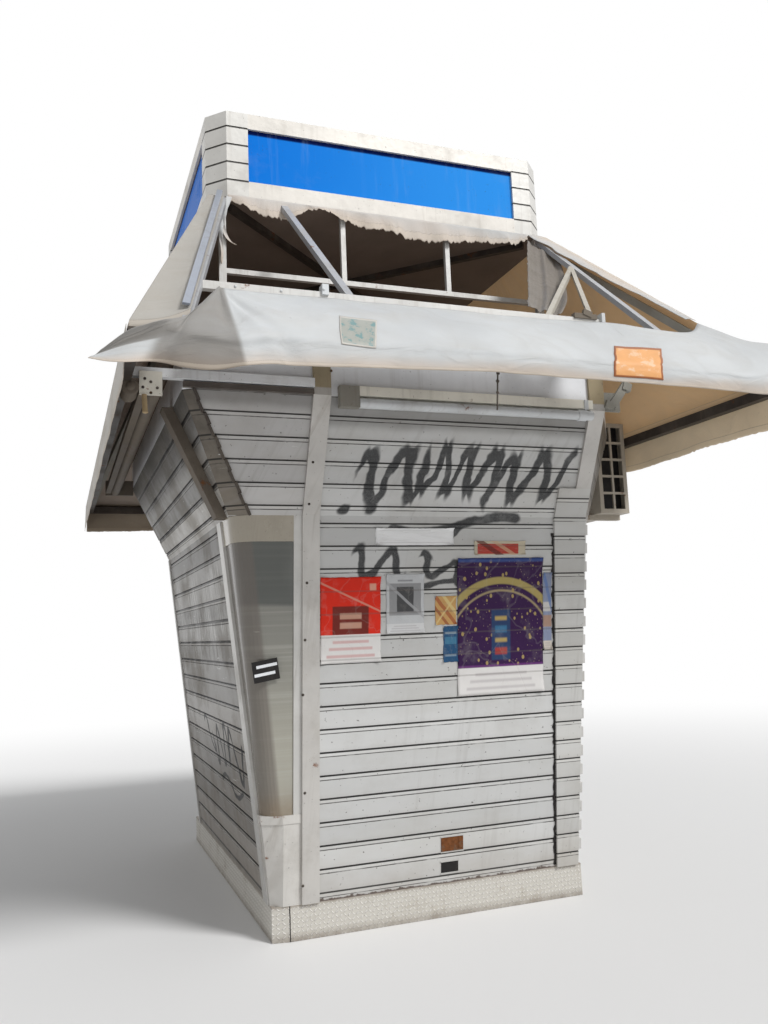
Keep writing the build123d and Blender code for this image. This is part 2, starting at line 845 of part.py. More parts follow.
def whole_cloths():
    """The cloths of the other three sides, and the hems that hang from them."""
    pieces = {}
    lift = cloth_gap
    corner_gap = 2 * cloth_gap
    for name, side in (("left_awning", -1), ("right_awning", 1)):
        top_x = side * (sign_half_width + cloth_gap)
        low_x = side * canopy_half_width
        pieces[name] = plate([
            (top_x, corner_gap - sign_half_depth, canopy_top + lift),
            (top_x, sign_half_depth - corner_gap, canopy_top + lift),
            (low_x, canopy_half_depth - corner_gap, ring_top + lift),
            (low_x, corner_gap - canopy_half_depth, ring_top + lift),
        ], (0, 0, cloth_thick))
    pieces["back_awning"] = plate([
        (corner_gap - sign_half_width, sign_half_depth + cloth_gap, canopy_top + lift),
        (sign_half_width - corner_gap, sign_half_depth + cloth_gap, canopy_top + lift),
        (canopy_half_width - corner_gap, canopy_half_depth, ring_top + lift),
        (corner_gap - canopy_half_width, canopy_half_depth, ring_top + lift),
    ], (0, 0, cloth_thick))
    hems = []
    fold = ring_top + cloth_thick
    heights = (fold - side_valance, fold)
    for side in (-1, 1):
        near = side * (canopy_half_width + cloth_gap)
        widths = sorted((near, near + side * cloth_thick))
        hems.append(box(widths, (-canopy_half_depth, canopy_half_depth), heights))
    near = canopy_half_depth + cloth_gap
    hems.append(box((-canopy_half_width, canopy_half_width), (near, near + cloth_thick), heights))
    pieces["side_valances"] = Compound(hems)
    return pieces


def left_gear():
    plate_left = ring_size - canopy_half_width + plate_inset - plate_width / 2
    plate_front = head_front - beam_size - plate_thick
    plate_top = flare_height + beam_rise + gear_lap
    tube_height = flare_height - gear_drop
    roller_x = plate_left + plate_width - gear_radius
    bar_x = plate_left + gear_bar_size / 2
    start = plate_front + plate_thick
    end = start + gear_length
    half = gear_bar_size / 2
    return {
        "gear_plate": box(
            (plate_left, plate_left + plate_width), (plate_front, start),
            (plate_top - plate_height, plate_top)),
        "gear_tubes": Compound([
            tube((roller_x, start, tube_height), (roller_x, end, tube_height), gear_radius),
            box((bar_x - half, bar_x + half), (start, end), (tube_height - half, tube_height + half)),
        ]),
        "gear_bracket": box(
            (plate_left, head_left), (end, end + gear_bracket_thick),
            (plate_top - plate_height, plate_top)),
    }


def air_conditioner():
    left = half_width + head_out + ac_gap
    right = left + ac_width
    back = ac_front + ac_length
    top = ac_bottom + ac_height
    inner_left = left + ac_thick
    inner_right = right - ac_thick
    inner_low = ac_bottom + ac_thick
    inner_top = top - ac_thick
    casing = box((left, right), (ac_front, back), (ac_bottom, top))
    casing = casing - box(
        (inner_left, inner_right), (ac_front, back - ac_thick), (inner_low, inner_top))
    grille = box((inner_left, inner_right), (ac_front, ac_front + ac_thick), (inner_low, inner_top))
    column_step = (inner_right - inner_left - ac_bar) / ac_columns
    row_step = (inner_top - inner_low - ac_bar) / ac_rows
    for column in range(ac_columns):
        x = inner_left + ac_bar + column * column_step
        for row in range(ac_rows):
            z = inner_low + ac_bar + row * row_step
            grille = grille - box(
                (x, x + column_step - ac_bar), (ac_front, ac_front + ac_thick),
                (z, z + row_step - ac_bar))
    coil_at = ac_front + ac_coil_recess
    arm_low = ac_bottom - ac_arm_height
    arms = []
    for y in (ac_front + ac_arm_inset, back - ac_arm_inset - ac_arm_width):
        arms.append(plate([
            (half_width + outset(arm_low), y, arm_low),
            (right, y, arm_low),
            (right, y, ac_bottom),
            (half_width + outset(ac_bottom), y, ac_bottom),
        ], (0, ac_arm_width, 0)))
    return {
        "ac_casing": casing,
        "ac_grille": grille,
        "ac_coil": box(
            (inner_left, inner_right), (coil_at, coil_at + ac_thick), (inner_low, inner_top)),
        "ac_arms": Compound(arms),
    }


pieces = {}
for group in (
        skirt, front, left_side, hidden_sides, showcase, head, roof_frame, sign_box,
        canopy_frame, front_cloths, torn_cloths, whole_cloths, left_gear, air_conditioner):
    pieces.update(group())

os.makedirs("parts", exist_ok=True)
for name, shape in pieces.items():
    export_step(shape, "parts/" + name + ".step")
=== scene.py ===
import bpy
import bmesh
import math
from functools import partial
from mathutils import Euler, Matrix, Vector, noise


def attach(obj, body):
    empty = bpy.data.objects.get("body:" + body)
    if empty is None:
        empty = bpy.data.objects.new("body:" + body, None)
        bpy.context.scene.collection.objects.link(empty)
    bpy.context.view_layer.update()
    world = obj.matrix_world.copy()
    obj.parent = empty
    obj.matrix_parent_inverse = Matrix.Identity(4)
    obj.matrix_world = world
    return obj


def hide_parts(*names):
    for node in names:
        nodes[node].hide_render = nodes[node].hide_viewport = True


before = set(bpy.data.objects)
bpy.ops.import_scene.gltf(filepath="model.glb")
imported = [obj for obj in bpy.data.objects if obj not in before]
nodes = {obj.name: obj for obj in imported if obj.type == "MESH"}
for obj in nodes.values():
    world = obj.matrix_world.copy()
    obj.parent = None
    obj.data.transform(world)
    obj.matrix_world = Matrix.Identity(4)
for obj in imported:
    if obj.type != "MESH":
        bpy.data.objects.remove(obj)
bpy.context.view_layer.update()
print("frame loaded")

# the walls lean out to the bend and then flare (all sizes in metres)
cabin = {"halfWidth": 0.835, "halfDepth": 1.2, "skirt": 0.16, "bend": 1.985,
         "flareTop": 2.51, "lean": 0.2, "flareOut": 0.45}
# height of the first line between two slats, and from one line to the next
slatLines = {"wall": (0.3081, 0.10935), "flare": (2.0301, 0.09931), "cover": (0.2296, 0.09742)}


def wallOut(z):
    if z <= cabin["bend"]:
        return cabin["lean"] * (z - cabin["skirt"]) / (cabin["bend"] - cabin["skirt"])
    rise = min(1, (z - cabin["bend"]) / (cabin["flareTop"] - cabin["bend"]))
    return cabin["lean"] + (cabin["flareOut"] - cabin["lean"]) * rise


def onFront(x, z, proud=0):
    return Vector((x, -cabin["halfDepth"] - wallOut(z) - proud, z))


# node helpers
class Value:
    # an output of a shader node, so that sums of them read as sums
    def __init__(self, socket):
        self.socket = socket
        self.tree = socket.id_data

    def __add__(self, other):
        return calc("ADD", self, other)

    def __radd__(self, other):
        return calc("ADD", other, self)

    def __sub__(self, other):
        return calc("SUBTRACT", self, other)

    def __rsub__(self, other):
        return calc("SUBTRACT", other, self)

    def __mul__(self, other):
        return calc("MULTIPLY", self, other)

    def __truediv__(self, other):
        return calc("DIVIDE", self, other)

    def __pow__(self, other):
        return calc("POWER", self, other)


def treeOf(values):
    return next(value.tree for value in values if isinstance(value, Value))


def put(tree, kind, inputs=None, **settings):
    made = tree.nodes.new("ShaderNode" + kind)
    for name, value in settings.items():
        setattr(made, name, value)
    for name, value in (inputs or {}).items():
        if isinstance(value, Value):
            tree.links.new(value.socket, made.inputs[name])
        else:
            made.inputs[name].default_value = value
    return made


def calc(operation, *values):
    # vector maths as soon as one of the values is a vector
    vectors = any(value.socket.type == "VECTOR" if isinstance(value, Value)
                  else isinstance(value, tuple) for value in values)
    made = put(treeOf(values), "VectorMath" if vectors else "Math", dict(enumerate(values)),
               operation=operation)
    return Value(made.outputs["Vector" if vectors and operation != "LENGTH" else "Value"])


def parts(vector):
    made = put(vector.tree, "SeparateXYZ", {"Vector": vector})
    return [Value(socket) for socket in made.outputs]


def joined(*values):
    made = put(treeOf(values), "CombineXYZ", dict(enumerate(values)))
    return Value(made.outputs["Vector"])


def fade(value, low, high):
    inputs = {"Value": value, "From Min": low, "From Max": high}
    made = put(value.tree, "MapRange", inputs, interpolation_type="SMOOTHSTEP")
    return Value(made.outputs["Result"])


def tint(amount, under, over, blend="MIX"):
    inputs = {0: amount}
    for place, value in ((6, under), (7, over)):
        inputs[place] = value if isinstance(value, Value) else (*value, 1)
    made = put(treeOf((amount, under, over)), "Mix", inputs, data_type="RGBA", blend_type=blend)
    return Value(made.outputs[2])


def dimmed(colour, share):
    return tuple(part * share for part in colour)


def noiseAt(vector, scale, detail=3, rough=0.5, distortion=0):
    inputs = {"Vector": vector, "Scale": scale, "Detail": detail, "Roughness": rough,
              "Distortion": distortion}
    return Value(put(vector.tree, "TexNoise", inputs).outputs["Fac"])


def newGroup(name, outputs, **inputs):
    # each group takes a place first, and gives masks and heights, or a colour
    tree = bpy.data.node_groups.new(name, "ShaderNodeTree")
    for label, value in {"Vector": None, **inputs}.items():
        kind = "NodeSocketVector" if value is None else "NodeSocketFloat"
        made = tree.interface.new_socket(label, in_out="INPUT", socket_type=kind)
        if value is not None:
            made.default_value = value
    for label in outputs.split():
        kind = "NodeSocketColor" if label == "Colour" else "NodeSocketFloat"
        tree.interface.new_socket(label, in_out="OUTPUT", socket_type=kind)
    inside = tree.nodes.new("NodeGroupInput")
    outside = tree.nodes.new("NodeGroupOutput")

    def give(**values):
        for label, value in values.items():
            tree.links.new(value.socket, outside.inputs[label])

    return give, *(Value(socket) for socket in inside.outputs[:len(inputs) + 1])


def use(group, **inputs):
    made = put(inputs["Vector"].tree, "Group", inputs, node_tree=bpy.data.node_groups[group])
    return {socket.name: Value(socket) for socket in made.outputs}


def buildGroups():
    # blotches of dirt, from broad patches down to small specks
    give, place, scale, spread, seed = newGroup("grime", "Mask Speck", Scale=3.0, Spread=0.55,
                                                Seed=0.0)
    broad = noiseAt(place + seed, scale, 7, 0.66)
    fine = noiseAt(place + seed, scale * 22, 2, 0.5)
    give(Mask=fade(broad, spread - 0.09, spread + 0.13), Speck=fade(fine, 0.7, 0.76))

    # streaks that rain has washed down a wall
    give, place, across, spread, seed = newGroup("rainStreaks", "Mask", Across=26.0, Spread=0.56,
                                                 Seed=0.0)
    x, y, z = parts(place)
    narrow = noiseAt(joined((x + y) * across, z * 1.6, seed), 1.0, 4, 0.6, 0.25)
    patches = fade(noiseAt(place, 1.7, 2, 0.5), 0.38, 0.62)
    give(Mask=fade(narrow, spread - 0.04, spread + 0.16) * patches)

    # rubbed and scratched places, mostly along the slats
    give, place, amount, seed = newGroup("scuffs", "Mask", Amount=0.5, Seed=0.0)
    moved = place + seed
    long = noiseAt(moved * (5, 5, 95), 1.0, 3, 0.62, 0.6)
    level = 0.78 - amount * 0.2
    patches = fade(noiseAt(moved, 2.3, 2, 0.5), 0.45, 0.62)
    give(Mask=fade(long, level, level + 0.035) * patches)

    # where a height lies between two slat lines
    give, place, first, pitch, wide = newGroup("slatPlace", "Bead Groove Line Soil Shade",
                                               First=0.3, Pitch=0.11, Wide=1.0)
    height = parts(place)[2]
    turns = (height - first) / pitch
    part = calc("FRACT", turns + 10)
    fine = fade(part, 0.782, 0.796) * fade(part, 0.832, 0.816)
    broken = fade(noiseAt(place * (8, 8, 3), 1.0, 3, 0.6), 0.36, 0.5)
    top = 1 - wide * 0.055
    foot = wide * 0.02
    row = calc("FLOOR", turns + 0.2)
    give(Bead=fade(part, 0.835, 0.85) * fade(part, 0.955, 0.935),
         Groove=calc("MAXIMUM", fade(part, top, top + 0.017), fade(part, foot + 0.016, foot)),
         Line=fine * (0.3 + broken * 0.7), Soil=fade(part, 0.28, 0.02),
         Shade=calc("FRACT", 20 + calc("SINE", row * 2.4) * 7.3))

    # one slanting wave of spray paint, soft at its edge
    give, place, middle, reach, height, turns, slope, width = newGroup(
        "sprayWave", "Mask", Middle=None, Reach=0.2, Height=0.05, Turns=20.0, Slope=0.0, Width=0.02)
    x, y, z = parts(place - middle)
    across = x - y * 0.3
    turn = across * turns
    level = calc("SINE", turn) * height + across * slope
    steep = calc("COSINE", turn) * (height * turns)
    gap = (y - level) / calc("SQRT", steep * steep + 1)
    over = calc("MAXIMUM", calc("ABSOLUTE", across) - reach, 0)
    away = calc("SQRT", gap * gap + over * over)
    give(Mask=fade(away, width * 1.35, width * 0.7))

    # raised lozenges of tread plate, in two directions
    give, place, size = newGroup("treadPlate", "Height", Size=0.03)
    x, y, z = parts(place)
    first = (x + y + z) / size
    second = (x + y - z) / size
    bars = []
    for one, other, offset in ((first, second, 20), (second, first, 20.5)):
        a = calc("ABSOLUTE", calc("FRACT", one + offset) - 0.5)
        b = calc("ABSOLUTE", calc("FRACT", other + offset) - 0.5)
        bars.append(fade((a * 2.9) ** 2 + (b * 8.5) ** 2, 1.0, 0.35))
    give(Height=calc("MAXIMUM", *bars))

    # rust that eats in from broad patches, with an uneven colour
    give, place, scale, spread = newGroup("rust", "Mask Colour", Scale=9.0, Spread=0.6)
    spots = noiseAt(place, scale, 8, 0.72)
    tone = noiseAt(place, scale * 6, 4, 0.6)
    give(Mask=fade(spots, spread - 0.03, spread + 0.05),
         Colour=tint(tone, (0.05, 0.018, 0.008), (0.3, 0.11, 0.035)))

    # coated cloth: a fine weave under the coat, creases and weather stains
    give, place, threads, crease = newGroup("coatedCloth", "Weave Creases Stain Speck",
                                            Threads=420.0, Crease=5.0)
    x, y, z = parts(place)
    fullTurn = 6.2832
    folds = noiseAt(place, crease, 4, 0.45, 0.8)
    wash = noiseAt(place * (1, 2.4, 1), 2.2, 6, 0.6)
    give(Weave=calc("SINE", x * threads * fullTurn) * calc("SINE", y * threads * fullTurn),
         Creases=calc("MAXIMUM", 1 - calc("ABSOLUTE", (folds - 0.5) * 9), 0),
         Stain=fade(wash, 0.44, 0.7), Speck=fade(noiseAt(place, 60, 2, 0.5), 0.72, 0.78))


buildGroups()
print("shader groups built")

finishes = {}


def newMaterial(name, metallic=0, roughness=0.5, specular=0.5, coat=0, coatRoughness=0.1):
    finishes[name] = bpy.data.materials.new(name)
    finishes[name].use_nodes = True
    tree = finishes[name].node_tree
    shader = tree.nodes["Principled BSDF"]
    shader.inputs["Metallic"].default_value = metallic
    shader.inputs["Roughness"].default_value = roughness
    shader.inputs["Specular IOR Level"].default_value = specular
    shader.inputs["Coat Weight"].default_value = coat
    shader.inputs["Coat Roughness"].default_value = coatRoughness
    return shader, Value(put(tree, "TexCoord").outputs["Object"])


def feed(shader, **values):
    for name, value in values.items():
        value.tree.links.new(value.socket, shader.inputs[name.replace("_", " ")])


def bumped(shader, height, distance, strength, **under):
    inputs = {"Height": height, "Distance": distance, "Strength": strength, **under}
    normal = Value(put(height.tree, "Bump", inputs).outputs["Normal"])
    feed(shader, Normal=normal)
    return normal


# black spray scribbles, each a wave: middle, half length, height, turns per metre, slope and
# half width, in X and Z on the front and in Y and Z on the left side
sprays = {
    "front": [((-0.27, 2.17), 0.15, 0.105, 33, 0.1, 0.026),
              ((0.10, 2.20), 0.21, 0.085, 44, -0.05, 0.025),
              ((0.50, 2.18), 0.19, 0.095, 37, 0.12, 0.026),
              ((-0.35, 2.02), 0.008, 0, 1, 0, 0.026), ((-0.49, 2.015), 0.006, 0, 1, 0, 0.024),
              ((0.13, 1.945), 0.33, 0.036, 7.5, 0.02, 0.023),
              ((0.12, 1.925), 0.06, 0.02, 25, 0.3, 0.02),
              ((-0.30, 1.75), 0.14, 0.07, 34, -0.1, 0.021),
              ((0.04, 1.72), 0.12, 0.05, 40, -0.25, 0.016),
              ((0.02, 1.645), 0.12, 0.01, 18, 0.06, 0.014)],
    "left": [((-0.72, 0.80), 0.2, 0.11, 21, 0.25, 0.017), ((-0.30, 0.82), 0.24, 0.1, 27, -0.1, 0.016),
             ((0.06, 0.86), 0.14, 0.07, 19, 0.3, 0.013), ((-0.5, 0.62), 0.3, 0.03, 12, 0.05, 0.012)],
}


def sprayMask(place, side):
    x, y, z = parts(place)
    wobble = noiseAt(place, 5, 3, 0.5) - 0.5
    flat = joined((x if side == "front" else y) + wobble * 0.11, z + wobble * -0.05, 0.0)
    total = None
    for middle, reach, height, turns, slope, width in sprays[side]:
        mask = use("sprayWave", Vector=flat, Middle=(*middle, 0), Reach=reach, Height=height,
                   Turns=turns, Slope=slope, Width=width)["Mask"]
        total = calc("MAXIMUM", total, mask) if total else mask
    mist = fade(noiseAt(place, 420, 2, 0.6), 0.3, 0.52)
    patchy = fade(noiseAt(place, 14, 3, 0.6), 0.22, 0.5)
    return total * (0.76 + mist * patchy * 0.2)


def slatFinish(name, lines, colour, dirt=0.5, streaks=0.3, scuff=0.3, spray=None, rowShade=0.45,
               rowDark=0.72, hatch=0.0, foot=0.0, eavesShadow=None, wide=1.0):
    shader, place = newMaterial(name, 0.08, 0.45, 0.28)
    first, pitch = slatLines[lines]
    height = parts(place)[2]
    rows = use("slatPlace", Vector=place, First=first, Pitch=pitch, Wide=wide)
    paint = tint(rows["Shade"] * rowShade, colour, dimmed(colour, rowDark))
    cloudy = fade(noiseAt(place * (1, 1, 3), 1.3, 4, 0.6), 0.42, 0.66)
    paint = tint(cloudy, paint, (0.93, 0.92, 0.9), "MULTIPLY")
    grime = use("grime", Vector=place, Scale=2.6, Spread=0.62 - 0.1 * dirt, Seed=3.0)
    paint = tint(grime["Mask"] * (0.4 * dirt), paint, (0.27, 0.24, 0.2))
    soil = rows["Soil"] * noiseAt(place, 11, 4, 0.6)
    paint = tint(soil * (0.4 * dirt), paint, (0.2, 0.17, 0.14))
    washed = use("rainStreaks", Vector=place, Across=24.0, Spread=0.57, Seed=1.0)["Mask"]
    paint = tint(washed * streaks, paint, (0.24, 0.22, 0.2))
    marks = use("scuffs", Vector=place, Amount=scuff, Seed=7.0)["Mask"]
    paint = tint(marks * 0.75, paint, (0.8, 0.8, 0.78))
    if eavesShadow:
        # painted shadow on the rows under the awning's box
        uneven = height + noiseAt(place, 3, 4, 0.6) * 0.04
        dull = fade(uneven, eavesShadow - 0.02, eavesShadow + 0.03)
        paint = tint(dull * 0.85, paint, (0.5, 0.49, 0.48), "MULTIPLY")
    if hatch:
        # whitish upright scratches, as high as a hand reaches, and painted shade darkening the wall
        # below them
        fine = fade(noiseAt(place * (1, 90, 5), 1.0, 3, 0.66), 0.47, 0.6)
        zone = fade(height, 1.2, 1.38) * fade(height, 1.9, 1.74)
        patches = fade(noiseAt(place, 3.1, 2, 0.5), 0.34, 0.52)
        paint = tint(fine * zone * patches * hatch, paint, (0.85, 0.85, 0.83))
        paint = tint(fade(height, 1.25, 0.3) * 0.45, paint, (0.25, 0.215, 0.18))
    # painted highlight along the beads of the slats
    paint = tint(rows["Bead"] * 0.5, paint, (1.12, 1.12, 1.1), "MULTIPLY")
    paint = tint(grime["Speck"] * 0.7, paint, (0.06, 0.05, 0.045))
    splash = fade(height, 0.4, 0.16) * noiseAt(place, 7, 5, 0.7)
    paint = tint(splash * 0.5, paint, (0.24, 0.19, 0.14))
    if foot:
        # rust along the bottom edge, with darker blots
        edge = 0.162 + noiseAt(place, 26, 4, 0.7) ** 4 * 0.09
        paint = tint(fade(height - edge, 0.004, -0.003) * foot, paint, (0.06, 0.032, 0.02))
    # dark lines and grooves between the slats, deepened by painted shade in the recesses
    paint = tint(rows["Line"] * 0.85, paint, (0.05, 0.045, 0.04))
    paint = tint(rows["Groove"] * 0.93, paint, (0.02, 0.018, 0.016))
    rough = 0.36 + grime["Mask"] * 0.25
    if spray:
        black = sprayMask(place, spray)
        paint = tint(black, paint, (0.03, 0.031, 0.033))
        rough = rough + black * 0.15
    dents = noiseAt(place * (3, 3, 9), 1.0, 2, 0.4)
    grain = noiseAt(place * (30, 30, 700), 1.0, 2, 0.5)
    bumped(shader, dents + grain * 0.02 - rows["Line"] * 0.12, 0.012, 0.6)
    feed(shader, Base_Color=paint, Roughness=rough)


def metalFinish(name, colour, metallic=0.3, roughness=0.45, dirt=0.4, rust=0.0, streaks=0.2,
                coat=0.0, head=None, shortSlats=False, specular=0.35):
    shader, place = newMaterial(name, metallic, roughness, specular, coat)
    height = parts(place)[2]
    cloudy = noiseAt(place, 2.4, 5, 0.6)
    paint = tint(fade(cloudy, 0.35, 0.7), colour, dimmed(colour, 0.84))
    if head:
        # another colour above a height
        level, above = head
        paint = tint(fade(height, level - 0.004, level + 0.004), paint, above)
    grime = use("grime", Vector=place, Scale=4.0, Spread=0.6 - 0.12 * dirt, Seed=5.0)
    paint = tint(grime["Mask"] * (0.6 * dirt), paint, (0.24, 0.21, 0.17))
    washed = use("rainStreaks", Vector=place, Across=34.0, Spread=0.55, Seed=4.0)["Mask"]
    paint = tint(washed * streaks, paint, (0.2, 0.16, 0.12))
    paint = tint(grime["Speck"] * 0.5, paint, (0.08, 0.06, 0.05))
    rough = roughness - 0.05 + grime["Mask"] * 0.25
    rise = noiseAt(place, 18, 5, 0.55)
    if shortSlats:
        # dark lines between the short slats of the sign box corners, from its top rail down: dark
        # joints deepened by painted shade
        part = calc("FRACT", (4.216 - height) / 0.104 + 8)
        line = fade(part, 0.115, 0.09) * fade(height, 4.22, 4.216)
        paint = tint(line * 0.9, paint, (0.03, 0.026, 0.022))
    if rust:
        eaten = use("rust", Vector=place, Scale=8.0, Spread=0.68 - 0.2 * rust)
        paint = tint(eaten["Mask"], paint, eaten["Colour"])
        rough = rough + eaten["Mask"] * 0.35
        rise = rise + eaten["Mask"] * 0.5
    bumped(shader, rise, 0.0025, 0.5)
    feed(shader, Base_Color=paint, Roughness=rough)


def treadFinish():
    shader, place = newMaterial("tread plate", 0.25, 0.45)
    x, y, height = parts(place)
    tread = use("treadPlate", Vector=place, Size=0.042)["Height"]
    grime = use("grime", Vector=place, Scale=5.0, Spread=0.58, Seed=9.0)
    paint = tint(grime["Mask"] * 0.7, (0.56, 0.535, 0.485), (0.33, 0.285, 0.22))
    paint = tint(tread * 0.85, paint, (0.8, 0.775, 0.73))
    low = fade(height, 0.05, 0.0) * noiseAt(place, 13, 4, 0.6)
    paint = tint(low, paint, (0.17, 0.13, 0.095))
    top = fade(height, 0.142, 0.16) * noiseAt(place, 17, 4, 0.6)
    paint = tint(top, paint, (0.16, 0.11, 0.07))
    paint = tint(grime["Speck"] * 0.8, paint, (0.1, 0.07, 0.05))
    # the open seam beside the corner plate
    gap = calc("ABSOLUTE", x + (0.7505 + noiseAt(place, 40, 2, 0.5) * 0.003))
    seam = fade(gap, 0.0032, 0.0018) * fade(y, -1.18, -1.19)
    paint = tint(seam, paint, (0.02, 0.015, 0.012))
    bumped(shader, tread - seam, 0.004, 0.9)
    feed(shader, Base_Color=paint, Roughness=0.6 - tread * 0.2)


def paneFinish():
    # clouded plastic: painted shade darkening it towards the top, a painted shadow along its top
    # under the band, and painted shade where it bends round the corner
    shader, place = newMaterial("clouded pane", 0, 0.18, 0.35, 0.15, 0.08)
    x, y, z = parts(place)
    paint = tint(fade(z, 0.7, 1.5), (0.4, 0.385, 0.325), (0.27, 0.265, 0.235))
    fine = fade(noiseAt(place * (0.6, 0.6, 46), 1.0, 3, 0.6), 0.45, 0.7)
    paint = tint(fine * 0.45, paint, (0.46, 0.45, 0.4))
    # painted shadow along the top of the pane, under the band
    paint = tint(fade(z + x * 0.05, 1.505, 1.535) * 0.85, paint, (0.1, 0.108, 0.1))
    cloudy = fade(noiseAt(place * (2, 2, 0.7), 1.6, 4, 0.5), 0.42, 0.7)
    paint = tint(cloudy * 0.35, paint, (0.3, 0.295, 0.275))
    # painted shade where the pane bends round the corner
    bend = x + 0.835 + (z - 0.16) * 0.1096
    paint = tint(fade(bend, 0.1, 0.075) * 0.7, paint, (0.17, 0.145, 0.125))
    foot = fade(z, 0.74, 0.58) * noiseAt(place, 9, 4, 0.6)
    paint = tint(foot, paint, (0.24, 0.17, 0.1))
    marks = use("scuffs", Vector=place, Amount=0.35, Seed=2.0)["Mask"]
    paint = tint(marks * 0.3, paint, (0.6, 0.57, 0.52))
    bumped(shader, noiseAt(place, 5, 2, 0.4), 0.01, 0.25)
    feed(shader, Base_Color=paint, Roughness=0.14 + marks * 0.35, Alpha=0.9 + marks * 0.08)


def panelFinish():
    # the blue sheet: painted shade and reflection across it, and a painted shadow along its top under
    # the rail
    shader, place = newMaterial("blue sign panel", 0, 0.3, 0.005)
    x, y, z = parts(place)
    broad = noiseAt(place * (0.5, 0.5, 1.2), 1.0, 3, 0.5)
    # darker to the left as painted shade, lighter to the right as painted reflection of the sky
    paint = tint(fade(x + broad * 0.8, -0.9, 1.5), (0.004, 0.165, 0.68), (0.035, 0.3, 0.84))
    # painted shadow along the top of the sheet, under the rail
    paint = tint(fade(z, 4.18, 4.192) * 0.97, paint, (0.003, 0.005, 0.07))
    washed = use("rainStreaks", Vector=place, Across=18.0, Spread=0.57, Seed=6.0)["Mask"]
    paint = tint(washed * 0.12, paint, (0.35, 0.5, 0.72))
    dust = use("grime", Vector=place, Scale=4.0, Spread=0.6, Seed=1.0)
    paint = tint(dust["Mask"] * 0.1, paint, (0.3, 0.36, 0.45))
    paint = tint(dust["Speck"] * 0.5, paint, (0.05, 0.07, 0.12))
    bumped(shader, noiseAt(place, 2.5, 2, 0.4), 0.02, 0.2)
    feed(shader, Base_Color=paint, Roughness=0.24 + dust["Mask"] * 0.2)


# the cloths: outer face, weathered hem, stitching at the hem, and a painted glow standing in for
# light that comes through
def clothFinish(name, colour, hemColour, stain, stainAmount, warm=0.0, endShadeAndDirt=None, glow=0.0):
    shader, place = newMaterial(name, 0, 0.62, 0.35)
    shader.inputs["Sheen Weight"].default_value = 0.12
    shader.inputs["Emission Strength"].default_value = glow
    flat = Value(put(place.tree, "UVMap", uv_map="clothMap").outputs["UV"])
    x, y, z = parts(flat)
    cloth = use("coatedCloth", Vector=flat, Threads=420.0, Crease=4.0)
    cloudy = noiseAt(place, 1.4, 4, 0.55)
    paint = tint(fade(cloudy, 0.38, 0.66), colour, dimmed(colour, 0.88))
    paint = tint(cloth["Stain"] * stainAmount, paint, stain)
    if warm:
        low = fade(y + (cloudy - 0.5) * 0.3, 0.17, 0.0)
        paint = tint(low * warm, paint, (0.6, 0.46, 0.34))
    if endShadeAndDirt:
        # painted shade and dirt on the loose end that turns away, save on the turned-up tip, which
        # stays lit
        first, tip, level = endShadeAndDirt
        shadedAndDirty = fade(x, first, first + 0.025)
        litTip = fade(x, tip, tip + 0.06) * fade(y, level + 0.02, level - 0.02)
        paint = tint(shadedAndDirty * (1 - litTip) * 0.95, paint, (0.44, 0.41, 0.38), "MULTIPLY")
    paint = tint(cloth["Creases"] * 0.09, paint, (0.34, 0.3, 0.25))
    paint = tint(cloth["Speck"] * 0.35, paint, (0.16, 0.13, 0.1))
    hem = 0.035
    band = fade(y, hem + 0.002, hem - 0.001)
    paint = tint(band * 0.35, paint, hemColour)
    dash = fade(calc("FRACT", x * 110), 0.3, 0.36)
    stitch = fade(calc("ABSOLUTE", y - hem), 0.0022, 0.0008) * dash
    paint = tint(stitch * 0.6, paint, (0.2, 0.17, 0.14))
    normal = bumped(shader, cloth["Creases"] * 0.42 + band * 0.35, 0.006, 0.6)
    bumped(shader, cloth["Weave"], 0.0004, 0.35, Normal=normal)
    feed(shader, Base_Color=paint, Roughness=0.56 + cloth["Stain"] * 0.15)
    # painted light: the cloth glows in its own colour
    if glow:
        feed(shader, Emission_Color=paint)


silver = (0.6, 0.6, 0.59)
slatFinish("front slats", "wall", silver, 0.4, 0.16, 0.22, "front", foot=0.85)
slatFinish("front flare slats", "flare", silver, 0.45, 0.2, 0.22, "front", eavesShadow=2.4)
slatFinish("cover slats", "cover", (0.58, 0.575, 0.555), 0.5, 0.25, 0.2)
# the left side's darker wall and flare slats carry painted shade, besides their dirt and streaks
slatFinish("left slats", "wall", (0.36, 0.345, 0.325), 0.9, 0.55, 0.6, "left", 1.0, 0.36, 0.42,
           wide=1.8)
slatFinish("left flare slats", "flare", (0.47, 0.455, 0.43), 1.0, 0.6, 0.6, None, 1.0, 0.26,
           eavesShadow=2.3, wide=2.2)
# the turned corner slats are dark with painted shade and dirt
slatFinish("turned flare slats", "flare", (0.17, 0.148, 0.122), 1.2, 0.7, 0.4, None, 1.0, 0.5)
slatFinish("flare slats", "flare", (0.56, 0.55, 0.54), 0.5, 0.3, 0.3, None, 0.7, eavesShadow=2.47)
slatFinish("plain slats", "wall", silver)
metalFinish("aluminium profile", (0.6, 0.59, 0.565), 0.35, 0.38, 0.3, 0, 0.25)
# tan above 2.545 m: painted shade under the awning
metalFinish("post profile", (0.57, 0.55, 0.52), 0.3, 0.38, 0.35, 0.05, 0.3,
            head=(2.545, (0.42, 0.35, 0.23)))
# dark brown: grimy aluminium darkened further by painted shade under the awning
metalFinish("shaded grimy aluminium", (0.15, 0.125, 0.1), 0, 0.65, 0.7, 0.1, 0.4, specular=0.15)
metalFinish("bracket grey", (0.3, 0.29, 0.255), 0.1, 0.5, 0.6, 0.1, 0.3)
